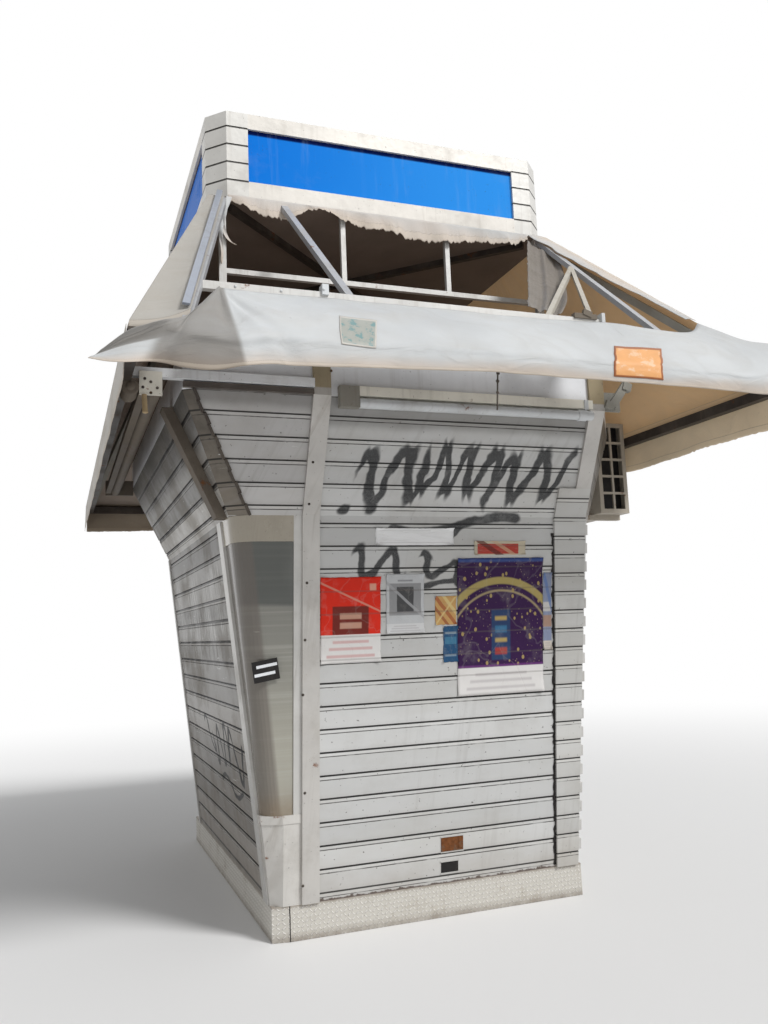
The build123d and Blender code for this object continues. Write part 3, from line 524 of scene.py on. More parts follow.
# paler than the white sheet metal: painted sunlight on the head fascia; the pale stripes on the pane
# share it
metalFinish("bright sheet metal", (0.88, 0.895, 0.92), 0, 0.5, 0.15, 0, 0.12)
metalFinish("white sheet metal", (0.66, 0.68, 0.69), 0.05, 0.4, 0.4, 0.1, 0.3)
metalFinish("base sheet metal", (0.62, 0.6, 0.565), 0.1, 0.42, 0.4, 0.1, 0.35)
metalFinish("cream sheet metal", (0.88, 0.85, 0.75), 0, 0.42, 0.3, 0.12, 0.25)
# dark brown below 2.5375 m: painted shade of the gap under the fascia, white above
metalFinish("head bars", (0.1, 0.085, 0.075), 0, 0.5, 0.4, 0.1, 0.2,
            head=(2.5375, (0.82, 0.835, 0.85)))
metalFinish("beige band", (0.42, 0.375, 0.3), 0, 0.22, 0.3, 0, 0.2, 0.4)
metalFinish("sign trim", (0.72, 0.685, 0.63), 0.1, 0.42, 0.22, 0, 0.16)
metalFinish("sign corner slats", (0.66, 0.645, 0.61), 0.15, 0.42, 0.3, 0, 0.2, shortSlats=True)
metalFinish("dark steel", (0.06, 0.048, 0.04), 0.3, 0.55, 0.5, 0.3, 0.2)
metalFinish("rusty steel", (0.14, 0.07, 0.035), 0.2, 0.7, 0.5, 0.9, 0.2)
metalFinish("pale steel bars", (0.64, 0.63, 0.605), 0.2, 0.42, 0.4, 0.12, 0.25)
metalFinish("steel grey bars", (0.43, 0.44, 0.46), 0.2, 0.42, 0.5, 0.12, 0.3)
metalFinish("beige steel bars", (0.46, 0.43, 0.37), 0.1, 0.5, 0.5, 0.12, 0.3)
metalFinish("blue grey rail", (0.33, 0.36, 0.42), 0.3, 0.38, 0.3, 0.05, 0.2)
metalFinish("brown board", (0.24, 0.19, 0.16), 0, 0.7, 0.3, 0, 0.1)
metalFinish("floor board", (0.3, 0.28, 0.25), 0, 0.6, 0.6, 0, 0)
metalFinish("unit casing", (0.42, 0.375, 0.31), 0, 0.5, 0.5, 0.2, 0.4)
metalFinish("unit coil", (0.02, 0.018, 0.018), 0.4, 0.6, 0.3, 0, 0.1)
metalFinish("tan plate", (0.45, 0.33, 0.18), 0, 0.5, 0.4, 0.2, 0.2)
treadFinish()
paneFinish()
panelFinish()
clothFinish("awning cloth", (0.585, 0.6, 0.605), (0.6, 0.52, 0.42), (0.52, 0.48, 0.42), 0.2,
            warm=0.6, endShadeAndDirt=(2.85, 3.14, 0.33))
clothFinish("gore cloth", (0.4, 0.38, 0.345), (0.5, 0.42, 0.33), (0.36, 0.32, 0.27), 0.35)
clothFinish("side awning cloth", (0.54, 0.51, 0.46), (0.5, 0.4, 0.3), (0.4, 0.33, 0.25), 0.4)
# the undersides are lit and shaded copies of one tan cloth: the darker ones carry painted shade, the
# lit ones painted light and a painted glow
clothFinish("awning underside", (0.26, 0.195, 0.145), (0.4, 0.3, 0.21), (0.15, 0.11, 0.08), 0.5)
clothFinish("back awning underside", (0.42, 0.345, 0.29), (0.4, 0.3, 0.21), (0.3, 0.23, 0.18), 0.5)
clothFinish("back hem underside", (0.36, 0.29, 0.215), (0.42, 0.33, 0.24), (0.26, 0.2, 0.15), 0.5)
clothFinish("lit underside", (0.62, 0.41, 0.22), (0.66, 0.5, 0.32), (0.5, 0.32, 0.17), 0.3,
            glow=0.2)
clothFinish("lit hem", (0.72, 0.58, 0.4), (0.72, 0.6, 0.44), (0.6, 0.46, 0.3), 0.3, glow=0.12)
# the drape's dark grey is painted shade on the band's cloth
clothFinish("shaded drape", (0.185, 0.16, 0.135), (0.22, 0.19, 0.16), (0.13, 0.11, 0.09), 0.4)

nodeFinishes = {
    "tread plate": "plinth_boards plinth_corner",
    "floor board": "floor_deck",
    "post profile": "front_left_post front_right_post",
    "aluminium profile": "left_guides showcase_strip",
    "shaded grimy aluminium": "left_flare_post gear_tubes gear_bracket",
    "front slats": "front_shutter",
    "front flare slats": "front_flare",
    "cover slats": "front_corner_cover",
    "left slats": "left_shutter",
    "flare slats": "corner_flare right_flare back_flare",
    "left flare slats": "left_flare",
    "turned flare slats": "corner_flares",
    "plain slats": "right_wall back_wall corner_walls",
    "base sheet metal": "corner_base showcase_sill",
    "bright sheet metal": "head_fascia",
    "white sheet metal": "head_corners showcase_back roller_tube",
    "cream sheet metal": "head_box gear_plate",
    "head bars": "head_bars",
    "beige band": "showcase_band",
    "brown board": "sign_ceiling roof_deck",
    "pale steel bars": "sign_legs roof_rails front_purlin",
    "steel grey bars": "front_rafters",
    "beige steel bars": "front_braces",
    "dark steel": "ring_bars ceiling_braces",
    "bracket grey": "hip_rafters head_brackets",
    "sign corner slats": "sign_columns",
    "sign trim": "sign_rails",
    "blue sign panel": "sign_panels",
    "clouded pane": "showcase_pane",
    "unit casing": "ac_casing ac_grille ac_arms",
    "unit coil": "ac_coil",
}
for finish, names in nodeFinishes.items():
    for name in names.split():
        for slot in nodes[name].material_slots:
            slot.material = finishes[finish]
print("frame dressed")


# mesh helpers
def finished(name, bm, materials, smooth=False):
    # a sheet is smooth and already faces its way, a hard part is turned outwards here
    if not smooth:
        bmesh.ops.recalc_face_normals(bm, faces=bm.faces)
    mesh = bpy.data.meshes.new(name)
    bm.to_mesh(mesh)
    bm.free()
    for face in mesh.polygons:
        face.use_smooth = smooth
    for material in materials:
        mesh.materials.append(finishes[material])
    piece = bpy.data.objects.new(name, mesh)
    bpy.context.scene.collection.objects.link(piece)
    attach(piece, "root")
    return piece


def along(points, share):
    # a smooth line through a few points, at a share of its run
    spot = min(max(share, 0), 1) * (len(points) - 1)
    i = min(int(spot), len(points) - 2)
    t = spot - i
    a, b = points[i], points[i + 1]
    before = points[i - 1] if i > 0 else a * 2 - b
    after = points[i + 2] if i + 2 < len(points) else b * 2 - a
    return 0.5 * (2 * a + (b - before) * t + (2 * before - 5 * a + 4 * b - after) * t * t
                  + (3 * a - before - 3 * b + after) * t * t * t)


def sheetPiece(name, columns, rows, place, flat, materials, facing=(0, -1, 0), thick=0.0025,
               slot="cloth", mapName="clothMap"):
    # a grid laid out by place(u, v), with v = 0 at the hem, given a thickness inward
    bm = bmesh.new()
    bmesh.ops.create_grid(bm, x_segments=columns, y_segments=rows, size=0.5)
    layer = bm.loops.layers.uv.new(mapName)
    for face in bm.faces:
        for loop in face.loops:
            u, v = loop.vert.co.x + 0.5, loop.vert.co.y + 0.5
            loop[layer].uv = (u * flat[0], v * flat[1])
    for vert in bm.verts:
        vert.co = place(vert.co.x + 0.5, vert.co.y + 0.5)
    bm.normal_update()
    total = sum((face.normal * face.calc_area() for face in bm.faces), Vector((0, 0, 0)))
    if total.dot(Vector(facing)) < 0:
        bmesh.ops.reverse_faces(bm, faces=bm.faces)
    piece = finished(name, bm, materials, True)
    solid = piece.modifiers.new("thickness", "SOLIDIFY")
    solid.thickness = thick
    solid.use_quality_normals = slot == "cloth"
    solid.material_offset = len(materials) - 1
    return piece


def gluedSheet(name, columns, rows, place):
    # thin paper or foil with a material of its own name
    sheetPiece(name, columns, rows, place, (1, 1), [name], thick=0.0006, slot="cream",
               mapName="paperMap")


def ripple(point, scale, seed=0):
    return noise.noise(Vector((point.x * scale, point.y * scale, point.z * scale + seed)))


# what is left of the front cloth: band and hem in one sheet, from the right hip to the drooping
# flap at the left; each line gives the sheet's top edge, middle, fold over the ring, the ring's
# underside and the hem
bandSettings = {
    "columns": 400, "rows": 40, "flat": (3.4, 0.66),
    "net": [
        ((1.385, -1.825, 2.975), (1.475, -2.05, 2.812), (1.635, -2.175, 2.745),
         (1.655, -2.272, 2.61), (1.60, -2.295, 2.457)),
        ((1.235, -1.935, 2.876), (1.26, -2.105, 2.75), (1.29, -2.272, 2.578),
         (1.29, -2.298, 2.52), (1.30, -2.292, 2.457)),
        ((1.043, -1.957, 2.861), (1.06, -2.12, 2.747), (1.075, -2.272, 2.583),
         (1.08, -2.298, 2.523), (1.08, -2.292, 2.463)),
        ((0.82, -1.930, 2.884), (0.80, -2.115, 2.738), (0.80, -2.272, 2.585),
         (0.80, -2.298, 2.525), (0.80, -2.292, 2.466)),
        ((0.68, -1.889, 2.898), (0.66, -2.11, 2.737), (0.64, -2.272, 2.585),
         (0.64, -2.298, 2.525), (0.64, -2.293, 2.466)),
        ((0.38, -1.888, 2.889), (0.38, -2.11, 2.735), (0.38, -2.272, 2.585),
         (0.38, -2.298, 2.525), (0.38, -2.294, 2.466)),
        ((0.0, -1.888, 2.889), (0.0, -2.11, 2.735), (0.0, -2.272, 2.585),
         (0.0, -2.298, 2.525), (0.0, -2.292, 2.468)),
        ((-0.3, -1.888, 2.889), (-0.3, -2.11, 2.735), (-0.3, -2.272, 2.584),
         (-0.3, -2.298, 2.522), (-0.3, -2.294, 2.461)),
        ((-0.6, -1.888, 2.889), (-0.6, -2.11, 2.733), (-0.6, -2.272, 2.58),
         (-0.6, -2.298, 2.516), (-0.6, -2.295, 2.450)),
        ((-0.85, -1.888, 2.888), (-0.86, -2.11, 2.728), (-0.87, -2.272, 2.577),
         (-0.87, -2.298, 2.51), (-0.86, -2.300, 2.437)),
        ((-1.03, -1.889, 2.887), (-1.04, -2.11, 2.712), (-1.055, -2.292, 2.565),
         (-1.05, -2.306, 2.50), (-1.03, -2.314, 2.429)),
        ((-1.145, -1.892, 2.884), (-1.154, -2.11, 2.672), (-1.170, -2.300, 2.542),
         (-1.160, -2.318, 2.478), (-1.147, -2.328, 2.412)),
        ((-1.166, -1.893, 2.887), (-1.218, -2.06, 2.727), (-1.269, -2.290, 2.552),
         (-1.272, -2.302, 2.486), (-1.267, -2.310, 2.393)),
        ((-1.250, -2.03, 2.766), (-1.312, -2.16, 2.661), (-1.349, -2.286, 2.554),
         (-1.361, -2.290, 2.487), (-1.368, -2.286, 2.404)),
        ((-1.343, -2.225, 2.627), (-1.373, -2.280, 2.572), (-1.392, -2.284, 2.528),
         (-1.414, -2.284, 2.477), (-1.433, -2.262, 2.422)),
        ((-1.432, -2.296, 2.578), (-1.439, -2.286, 2.546), (-1.449, -2.281, 2.513),
         (-1.468, -2.290, 2.467), (-1.498, -2.308, 2.411)),
        ((-1.500, -2.302, 2.549), (-1.513, -2.288, 2.517), (-1.530, -2.281, 2.488),
         (-1.552, -2.298, 2.451), (-1.585, -2.330, 2.398)),
        ((-1.563, -2.300, 2.520), (-1.583, -2.288, 2.489), (-1.599, -2.282, 2.464),
         (-1.621, -2.295, 2.436), (-1.642, -2.318, 2.401)),
        ((-1.654, -2.290, 2.447), (-1.664, -2.290, 2.438), (-1.675, -2.292, 2.430),
         (-1.688, -2.294, 2.423), (-1.698, -2.296, 2.415)),
    ],
}
bandLines = [[Vector(spot) for spot in line] for line in bandSettings["net"]]
bandRuns = [0.0]
for before, after in zip(bandLines, bandLines[1:]):
    bandRuns.append(bandRuns[-1] + (after[2] - before[2]).length)


def bandPlace(u, v):
    run = min(max(u, 0), 1) * bandRuns[-1]
    i = max(j for j in range(len(bandLines) - 1) if bandRuns[j] <= run)
    part = (run - bandRuns[i]) / (bandRuns[i + 1] - bandRuns[i])
    near = range(max(0, i - 1), min(len(bandLines), i + 3))
    crossing = [along(bandLines[j], 1 - v) for j in near]
    point = along(crossing, (i - near[0] + part) / (len(crossing) - 1))
    # folds that fan down from the tied peak at the left
    peak = Vector((-1.16, -1.89, 2.89))
    reach = (point - peak).length
    angle = math.atan2(point.x - peak.x, peak.z - point.z)
    closeness = math.exp(-reach / 0.5) * min(1, reach * 5) * (0.7 if point.x < -1.16 else 1)
    point.y -= 0.012 * closeness * (math.sin(angle * 11) + 0.5 * math.sin(angle * 23 + 1.3))
    # the slack of the whole band, and its uneven hem
    slack = math.sin(v * math.pi) * 0.005 * math.sin(point.x * 5.2 + 0.8)
    point.y -= slack + 0.004 * ripple(point, 3.1) + 0.002 * ripple(point, 9.0, 4)
    point.z -= 0.003 * ripple(point, 6.0, 9)
    if v < 0.3:
        pucker = (0.3 - v) / 0.3 * (1 if point.x > -1.1 else 0.4)
        point.y -= 0.0015 * pucker * math.sin(point.x * 19) * (1 + ripple(point, 4, 6))
    return point


frontBand = sheetPiece("frontBand", bandSettings["columns"], bandSettings["rows"], bandPlace,
                       bandSettings["flat"], ["awning cloth", "awning underside"])
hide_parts("front_canopy", "front_valance")

# plain patches glued on the band: shares along the sheet and up it of the left and right ends
# of five level lines, lowest first; and colour, edge, size of the worn spots and their colour
bandPatches = {
    "orangePatch": {"ends": ((0.3567, 0.0769), (0.2733, 0.0843), (0.3561, 0.2225), (0.2735, 0.2366),
                             (0.3536, 0.4073), (0.2708, 0.4326), (0.3441, 0.5462), (0.2607, 0.5629),
                             (0.3311, 0.6442), (0.2432, 0.6556)),
                    "finish": ((0.85, 0.42, 0.16), (0.35, 0.12, 0.04), 3, (0.8, 0.55, 0.36))},
    "fadedPatch": {"ends": ((0.7191, 0.345), (0.6784, 0.3122), (0.718, 0.4751), (0.6768, 0.4524),
                            (0.715, 0.5643), (0.6724, 0.5481), (0.7112, 0.6398), (0.6664, 0.6239),
                            (0.7064, 0.7181), (0.6594, 0.7)),
                   "finish": ((0.4, 0.41, 0.37), (0.55, 0.52, 0.47), 4, (0.12, 0.27, 0.28))},
}


def patchFinish(name, colour, edge, spots, spotColour):
    shader, place = newMaterial(name, 0, 0.5, 0.35)
    flat = Value(put(place.tree, "UVMap", uv_map="paperMap").outputs["UV"])
    x, y, z = parts(flat)
    paint = tint(noiseAt(flat, 4, 3, 0.6), colour, dimmed(colour, 0.78))
    worn = fade(noiseAt(flat, spots, 4, 0.65), 0.5, 0.6)
    paint = tint(worn * 0.8, paint, spotColour)
    inner = fade(y, 0.05, 0.08) * fade(y, 0.95, 0.92)
    inner = fade(x, 0.03, 0.05) * fade(x, 0.97, 0.95) * inner
    paint = tint(inner, edge, paint)
    bumped(shader, noiseAt(flat, 7, 4, 0.5), 0.003, 0.5)
    feed(shader, Base_Color=paint)


def patchPlace(ends, u, v):
    height = min(v * 4, 3.9999)
    low = 2 * int(height)
    left, right = (Vector(ends[i]).lerp(Vector(ends[i + 2]), height - int(height))
                   for i in (low, low + 1))
    share = left.lerp(right, u)
    return bandPlace(share.x, share.y) + Vector((0, -0.0024, 0.0018))


for name, settings in bandPatches.items():
    patchFinish(name, *settings["finish"])
    gluedSheet(name, 24, 20, partial(patchPlace, settings["ends"]))

# the left gore, between the hip and the left rafter
goreSettings = {"columns": 40, "rows": 90, "flat": (0.225, 1.85),
                "top": ((-1.046, -0.952, 3.796), (-0.962, -0.952, 3.796)),
                "low": ((-1.564, -2.274, 2.56), (-1.325, -2.178, 2.662))}


def between(settings, u, v):
    # a point of the flat shape between a low and a top edge
    low, top = (Vector(settings[edge][0]).lerp(Vector(settings[edge][1]), u)
                for edge in ("low", "top"))
    return low.lerp(top, v)


def gorePlace(u, v):
    point = between(goreSettings, u, v)
    bulge = math.sin(u * math.pi)
    point += Vector((0, 0.012, -0.012)) * bulge * (1 - v) ** 0.7
    point.y -= 0.006 * math.sin(v * 21 + u * 4) * bulge
    point.y -= 0.004 * ripple(point, 6.0)
    if v < 0.02:
        point += Vector((0, 0.012, -0.02)) * (0.02 - v) / 0.02
    return point


leftGore = sheetPiece("leftGore", goreSettings["columns"], goreSettings["rows"], gorePlace,
                      goreSettings["flat"], ["gore cloth", "awning underside"], (0, -1, 0.5))
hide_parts("front_canopy")

# torn cloth that still hangs from the sign box, with a ragged edge
stripSettings = {"columns": 420, "rows": 12, "y": -0.958, "top": 3.806, "left": -0.94, "right": 0.9,
                 "hangs": (0.03, 0.05, 0.1, 0.105, 0.07, 0.012, 0.03, 0.07, 0.09, 0.085, 0.1, 0.12,
                           0.125, 0.115, 0.1, 0.09, 0.085, 0.075, 0.07, 0.03)}


def stripPlace(u, v):
    x = stripSettings["left"] + u * (stripSettings["right"] - stripSettings["left"])
    teeth = 0.03 * abs(noise.noise(Vector((x * 14, 0.3, 0))))
    teeth += 0.016 * noise.noise(Vector((x * 52, 2.1, 0)))
    teeth += 0.008 * noise.noise(Vector((x * 130, 5.1, 0)))
    drop = (along(stripSettings["hangs"], u) + teeth) * (1 - v)
    wave = 0.014 * (0.5 + 0.5 * math.sin(x * 17 + 1.1)) + 0.006 * math.sin(x * 43)
    return Vector((x, stripSettings["y"] - wave * (1 - v), stripSettings["top"] - drop))


tornStrip = sheetPiece("tornStrip", stripSettings["columns"], stripSettings["rows"], stripPlace,
                       (1.86, 0.09), ["awning cloth", "awning underside"], thick=0.0018)
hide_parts("torn_strip")

# scraps of the same cloth beside the left leg, each hanging down a line of X and Z
scraps = {
    "longScrap": {"line": ((-0.935, 3.79), (-0.962, 3.70), (-0.974, 3.63), (-0.945, 3.545),
                           (-0.905, 3.515)), "width": 0.03},
    "shortScrap": {"line": ((-0.968, 3.66), (-0.985, 3.58), (-0.978, 3.49), (-0.984, 3.40)),
                   "width": 0.022},
}


def scrapPlace(line, width, u, v):
    point = along(line, 1 - v)
    taper = (0.25 + 0.75 * v ** 0.4) * (1 + 0.3 * noise.noise(Vector((v * 7, u * 2, width))))
    point.x += (u - 0.5) * width * taper
    point.y -= 0.006 * math.sin(v * 9 + u * 2) + 0.004
    return point


for name, settings in scraps.items():
    line = [Vector((x, -0.962, z)) for x, z in settings["line"]]
    length = sum((b - a).length for a, b in zip(line, line[1:]))
    piece = sheetPiece(name, 8, 60, partial(scrapPlace, line, settings["width"]),
                       (settings["width"], length), ["awning cloth", "awning cloth"], thick=0.0018)
    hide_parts("torn_strip")

# what is left of the cloth along the right hip, sewn round its bar
hipSettings = {"top": (1.043, -0.95, 3.806), "low": (1.56, -2.27, 2.566), "reach": 0.655,
               "wide": 0.13, "narrow": 0.07}


def hipPlace(u, v):
    run = hipSettings["reach"] * (1 - u)
    point = Vector(hipSettings["top"]).lerp(Vector(hipSettings["low"]), run)
    taper = min(1, max(0, (run - 0.3) / 0.2))
    width = hipSettings["wide"] + (hipSettings["narrow"] - hipSettings["wide"]) * taper
    width *= 1 + 0.22 * noise.noise(Vector((run * 14, 0.4, 0)))
    point.x -= v * width
    point.z += 0.006 * math.sin(v * math.pi) + 0.003 * ripple(point, 12)
    return point


hipStrip = sheetPiece("hipStrip", 90, 12, hipPlace, (1.24, 0.11), ["awning cloth", "lit underside"],
                      (0, -1, 0.8), 0.002)
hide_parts("front_canopy")

# drape slung under the right rafter, its dark grey painted shade
drapeSettings = {"columns": 60, "rows": 70,
                 "top": ((0.875, -1.0, 3.735), (1.03, -1.1, 3.588)),
                 "low": ((0.365, -1.82, 2.968), (0.545, -1.835, 2.943))}


def drapePlace(u, v):
    point = between(drapeSettings, u, v)
    slack = math.sin(v * math.pi)
    point += Vector((0.015, 0.03, -0.05)) * slack * (1 - 0.35 * u)
    point.x += 0.04 * slack * u
    fold = (math.sin(u * 13 + v * 1.6) + 0.5 * math.sin(u * 27 + 1)) * 0.01 * (1 - 0.3 * v)
    point += Vector((-0.25, -0.75, 0.5)) * fold
    point.y -= 0.008 * ripple(point, 5, 3)
    if u < 0.02 or v < 0.02:
        point.x -= 0.012 * abs(ripple(point, 34, 8))
    return point


tornDrape = sheetPiece("tornDrape", drapeSettings["columns"], drapeSettings["rows"], drapePlace,
                       (0.3, 1.1), ["shaded drape", "shaded drape"])
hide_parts("torn_drape")

# the whole cloths of the other three sides: how far out and how wide at the top and at the ring
awnings = {
    "leftAwning": {"node": "left_awning", "turn": 90, "top": (1.043, 0.946), "low": (1.561, 2.268),
                   "under": "awning underside"},
    "rightAwning": {"node": "right_awning", "turn": -90, "top": (1.043, 0.946),
                    "low": (1.561, 2.268), "under": "lit underside"},
    "backAwning": {"node": "back_awning", "turn": 180, "top": (0.951, 1.041),
                   "low": (2.271, 1.557), "under": "back awning underside"},
}
ringHeight = 2.557
awningRise = 1.24
hemDrop = 0.204


def turned(settings, place):
    # from the front side round to a cloth's own side
    return Matrix.Rotation(math.radians(-settings["turn"]), 3, "Z") @ Vector(place)


def awningPlace(settings, u, v):
    out = settings["low"][0] + (settings["top"][0] - settings["low"][0]) * v
    half = settings["low"][1] + (settings["top"][1] - settings["low"][1]) * v
    x = (u - 0.5) * 2 * half
    z = ringHeight + awningRise * v
    # the cloth lies on its frame along the edges and sags a little between
    free = math.sin(u * math.pi) ** 0.6 * math.sin(v * math.pi) ** 0.8
    pull = 0.007 * math.sin(u * 26) * (1 - v) * math.sin(u * math.pi)
    uneven = 0.006 * noise.noise(Vector((x * 3, v * 4, settings["turn"])))
    sag = (0.022 + pull + uneven) * free
    return turned(settings, (x, -out + sag * 0.85, z - sag * 0.5))


for name, settings in awnings.items():
    slope = math.hypot(settings["low"][0] - settings["top"][0], awningRise)
    flat = (2 * settings["low"][1], slope)
    piece = sheetPiece(name, 130, 60, partial(awningPlace, settings), flat,
                       ["side awning cloth", settings["under"]], turned(settings, (0, -1, 0.3)))
    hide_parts(settings["node"])
    area = slope * (settings["low"][1] + settings["top"][1])

# hems that hang from the ring on those three sides
hems = {
    "leftHem": {"turn": 90, "half": 2.27, "out": 1.564, "loose": 0.12, "under": "awning underside"},
    "rightHem": {"turn": -90, "half": 2.27, "out": 1.564, "loose": 1, "under": "lit hem"},
    "backHem": {"turn": 180, "half": 1.56, "out": 2.274, "loose": 0.8,
                "under": "back hem underside"},
}


def hemPlace(settings, u, v):
    x = (u - 0.5) * 2 * settings["half"]
    free = 1 - v
    wave = 0.011 * math.sin(x * 7.3 + settings["turn"]) + 0.008 * math.sin(x * 17.1)
    wave += 0.012 * noise.noise(Vector((x * 2.3, free, settings["turn"])))
    frayed = 0.006 * noise.noise(Vector((x * 40, 1, settings["turn"]))) if v < 0.01 else 0
    z = ringHeight + 0.001 - (hemDrop + 0.004 * math.sin(x * 5.1)) * free + frayed
    out = settings["out"] + 0.004 + abs(free) * (0.01 + wave * settings["loose"])
    return turned(settings, (x, -out, z))


for name, settings in hems.items():
    flat = (2 * settings["half"], 0.212)
    piece = sheetPiece(name, 220, 16, partial(hemPlace, settings), flat,
                       ["side awning cloth", settings["under"]], turned(settings, (0, -1, 0)))
    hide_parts("side_valances")
print("cloths made")

# papers stuck on the front shutter, with plain patterns in place of prints: left, right, low and
# high edge, and how proud they lie
papers = {
    "redPaper": {"box": (-0.605, -0.296, 1.275, 1.688), "lift": 0.0012},
    "greyPaper": {"box": (-0.266, -0.064, 1.408, 1.70), "lift": 0.0012},
    "purplePaper": {"box": (0.12, 0.615, 1.078, 1.775), "lift": 0.002},
    "tanPaper": {"box": (-0.003, 0.113, 1.441, 1.585), "lift": 0.001},
    "bluePaper": {"box": (0.041, 0.123, 1.253, 1.434), "lift": 0.001},
    "topPaper": {"box": (0.217, 0.514, 1.79, 1.862), "lift": 0.001},
    "whitePaper": {"box": (-0.322, 0.1, 1.841, 1.926), "lift": 0.001},
    "edgePaper": {"box": (0.618, 0.668, 1.29, 1.695), "lift": 0.001},
}


def paperMask(flat, x, y, kind, values):
    # the shape of one printed form, without its colour
    if kind == "band":
        slantX, slantY, offset, half = values
        away = calc("ABSOLUTE", x * slantX + y * slantY - offset)
        return fade(away, half + 0.008, half - 0.008)
    if kind == "block":
        left, right, low, high = values
        wide = fade(x, left - 0.01, left + 0.01) * fade(x, right + 0.01, right - 0.01)
        tall = fade(y, low - 0.01, low + 0.01) * fade(y, high + 0.01, high - 0.01)
        return wide * tall
    if kind == "ring":
        middle, radius, half = values
        reach = calc("LENGTH", (flat - (*middle, 0)) * (1, 1.35, 0))
        return fade(calc("ABSOLUTE", reach - radius), half + 0.01, half - 0.01)
    scale, size = values
    spots = put(flat.tree, "TexVoronoi", {"Vector": flat, "Scale": scale}).outputs["Distance"]
    return fade(Value(spots), size, size * 0.7)


def paperFinish(name, base, foot, footShare, motif, ink=(0.3, 0.26, 0.28)):
    shader, place = newMaterial(name, 0, 0.5, 0.2)
    flat = Value(put(place.tree, "UVMap", uv_map="paperMap").outputs["UV"])
    x, y, z = parts(flat)
    paint = tint(noiseAt(flat, 3, 3, 0.5), base, dimmed(base, 0.8))
    for kind, values, colour, amount in motif:
        paint = tint(paperMask(flat, x, y, kind, values) * amount, paint, colour)
    if footShare:
        # a plain foot with three bars of even ink
        paint = tint(fade(y, footShare + 0.004, footShare - 0.004), paint, foot)
        for share, left, right in ((0.74, 0.2, 0.8), (0.5, 0.14, 0.86), (0.24, 0.1, 0.9)):
            bar = (left, right, footShare * (share - 0.05), footShare * (share + 0.05))
            paint = tint(paperMask(flat, x, y, "block", bar) * 0.4, paint, ink)
    # creases, scuffs and the slat lines that press through
    first, pitch = slatLines["wall"]
    rows = use("slatPlace", Vector=place, First=first, Pitch=pitch)
    paint = tint(rows["Groove"] * 0.3, paint, (0.12, 0.1, 0.09))
    worn = use("grime", Vector=flat, Scale=5.0, Spread=0.6, Seed=2.0)["Mask"]
    paint = tint(worn * 0.12, paint, (0.5, 0.47, 0.42))
    folds = noiseAt(flat, 2.6, 3, 0.4, 0.6)
    crease = fade(calc("ABSOLUTE", (folds - 0.5) * 14), 0.25, 0.05)
    paint = tint(crease * 0.07, paint, (0.62, 0.58, 0.53))
    bumped(shader, noiseAt(flat, 6, 4, 0.5) - (rows["Groove"] + crease) * 0.25, 0.004, 0.6)
    feed(shader, Base_Color=paint)


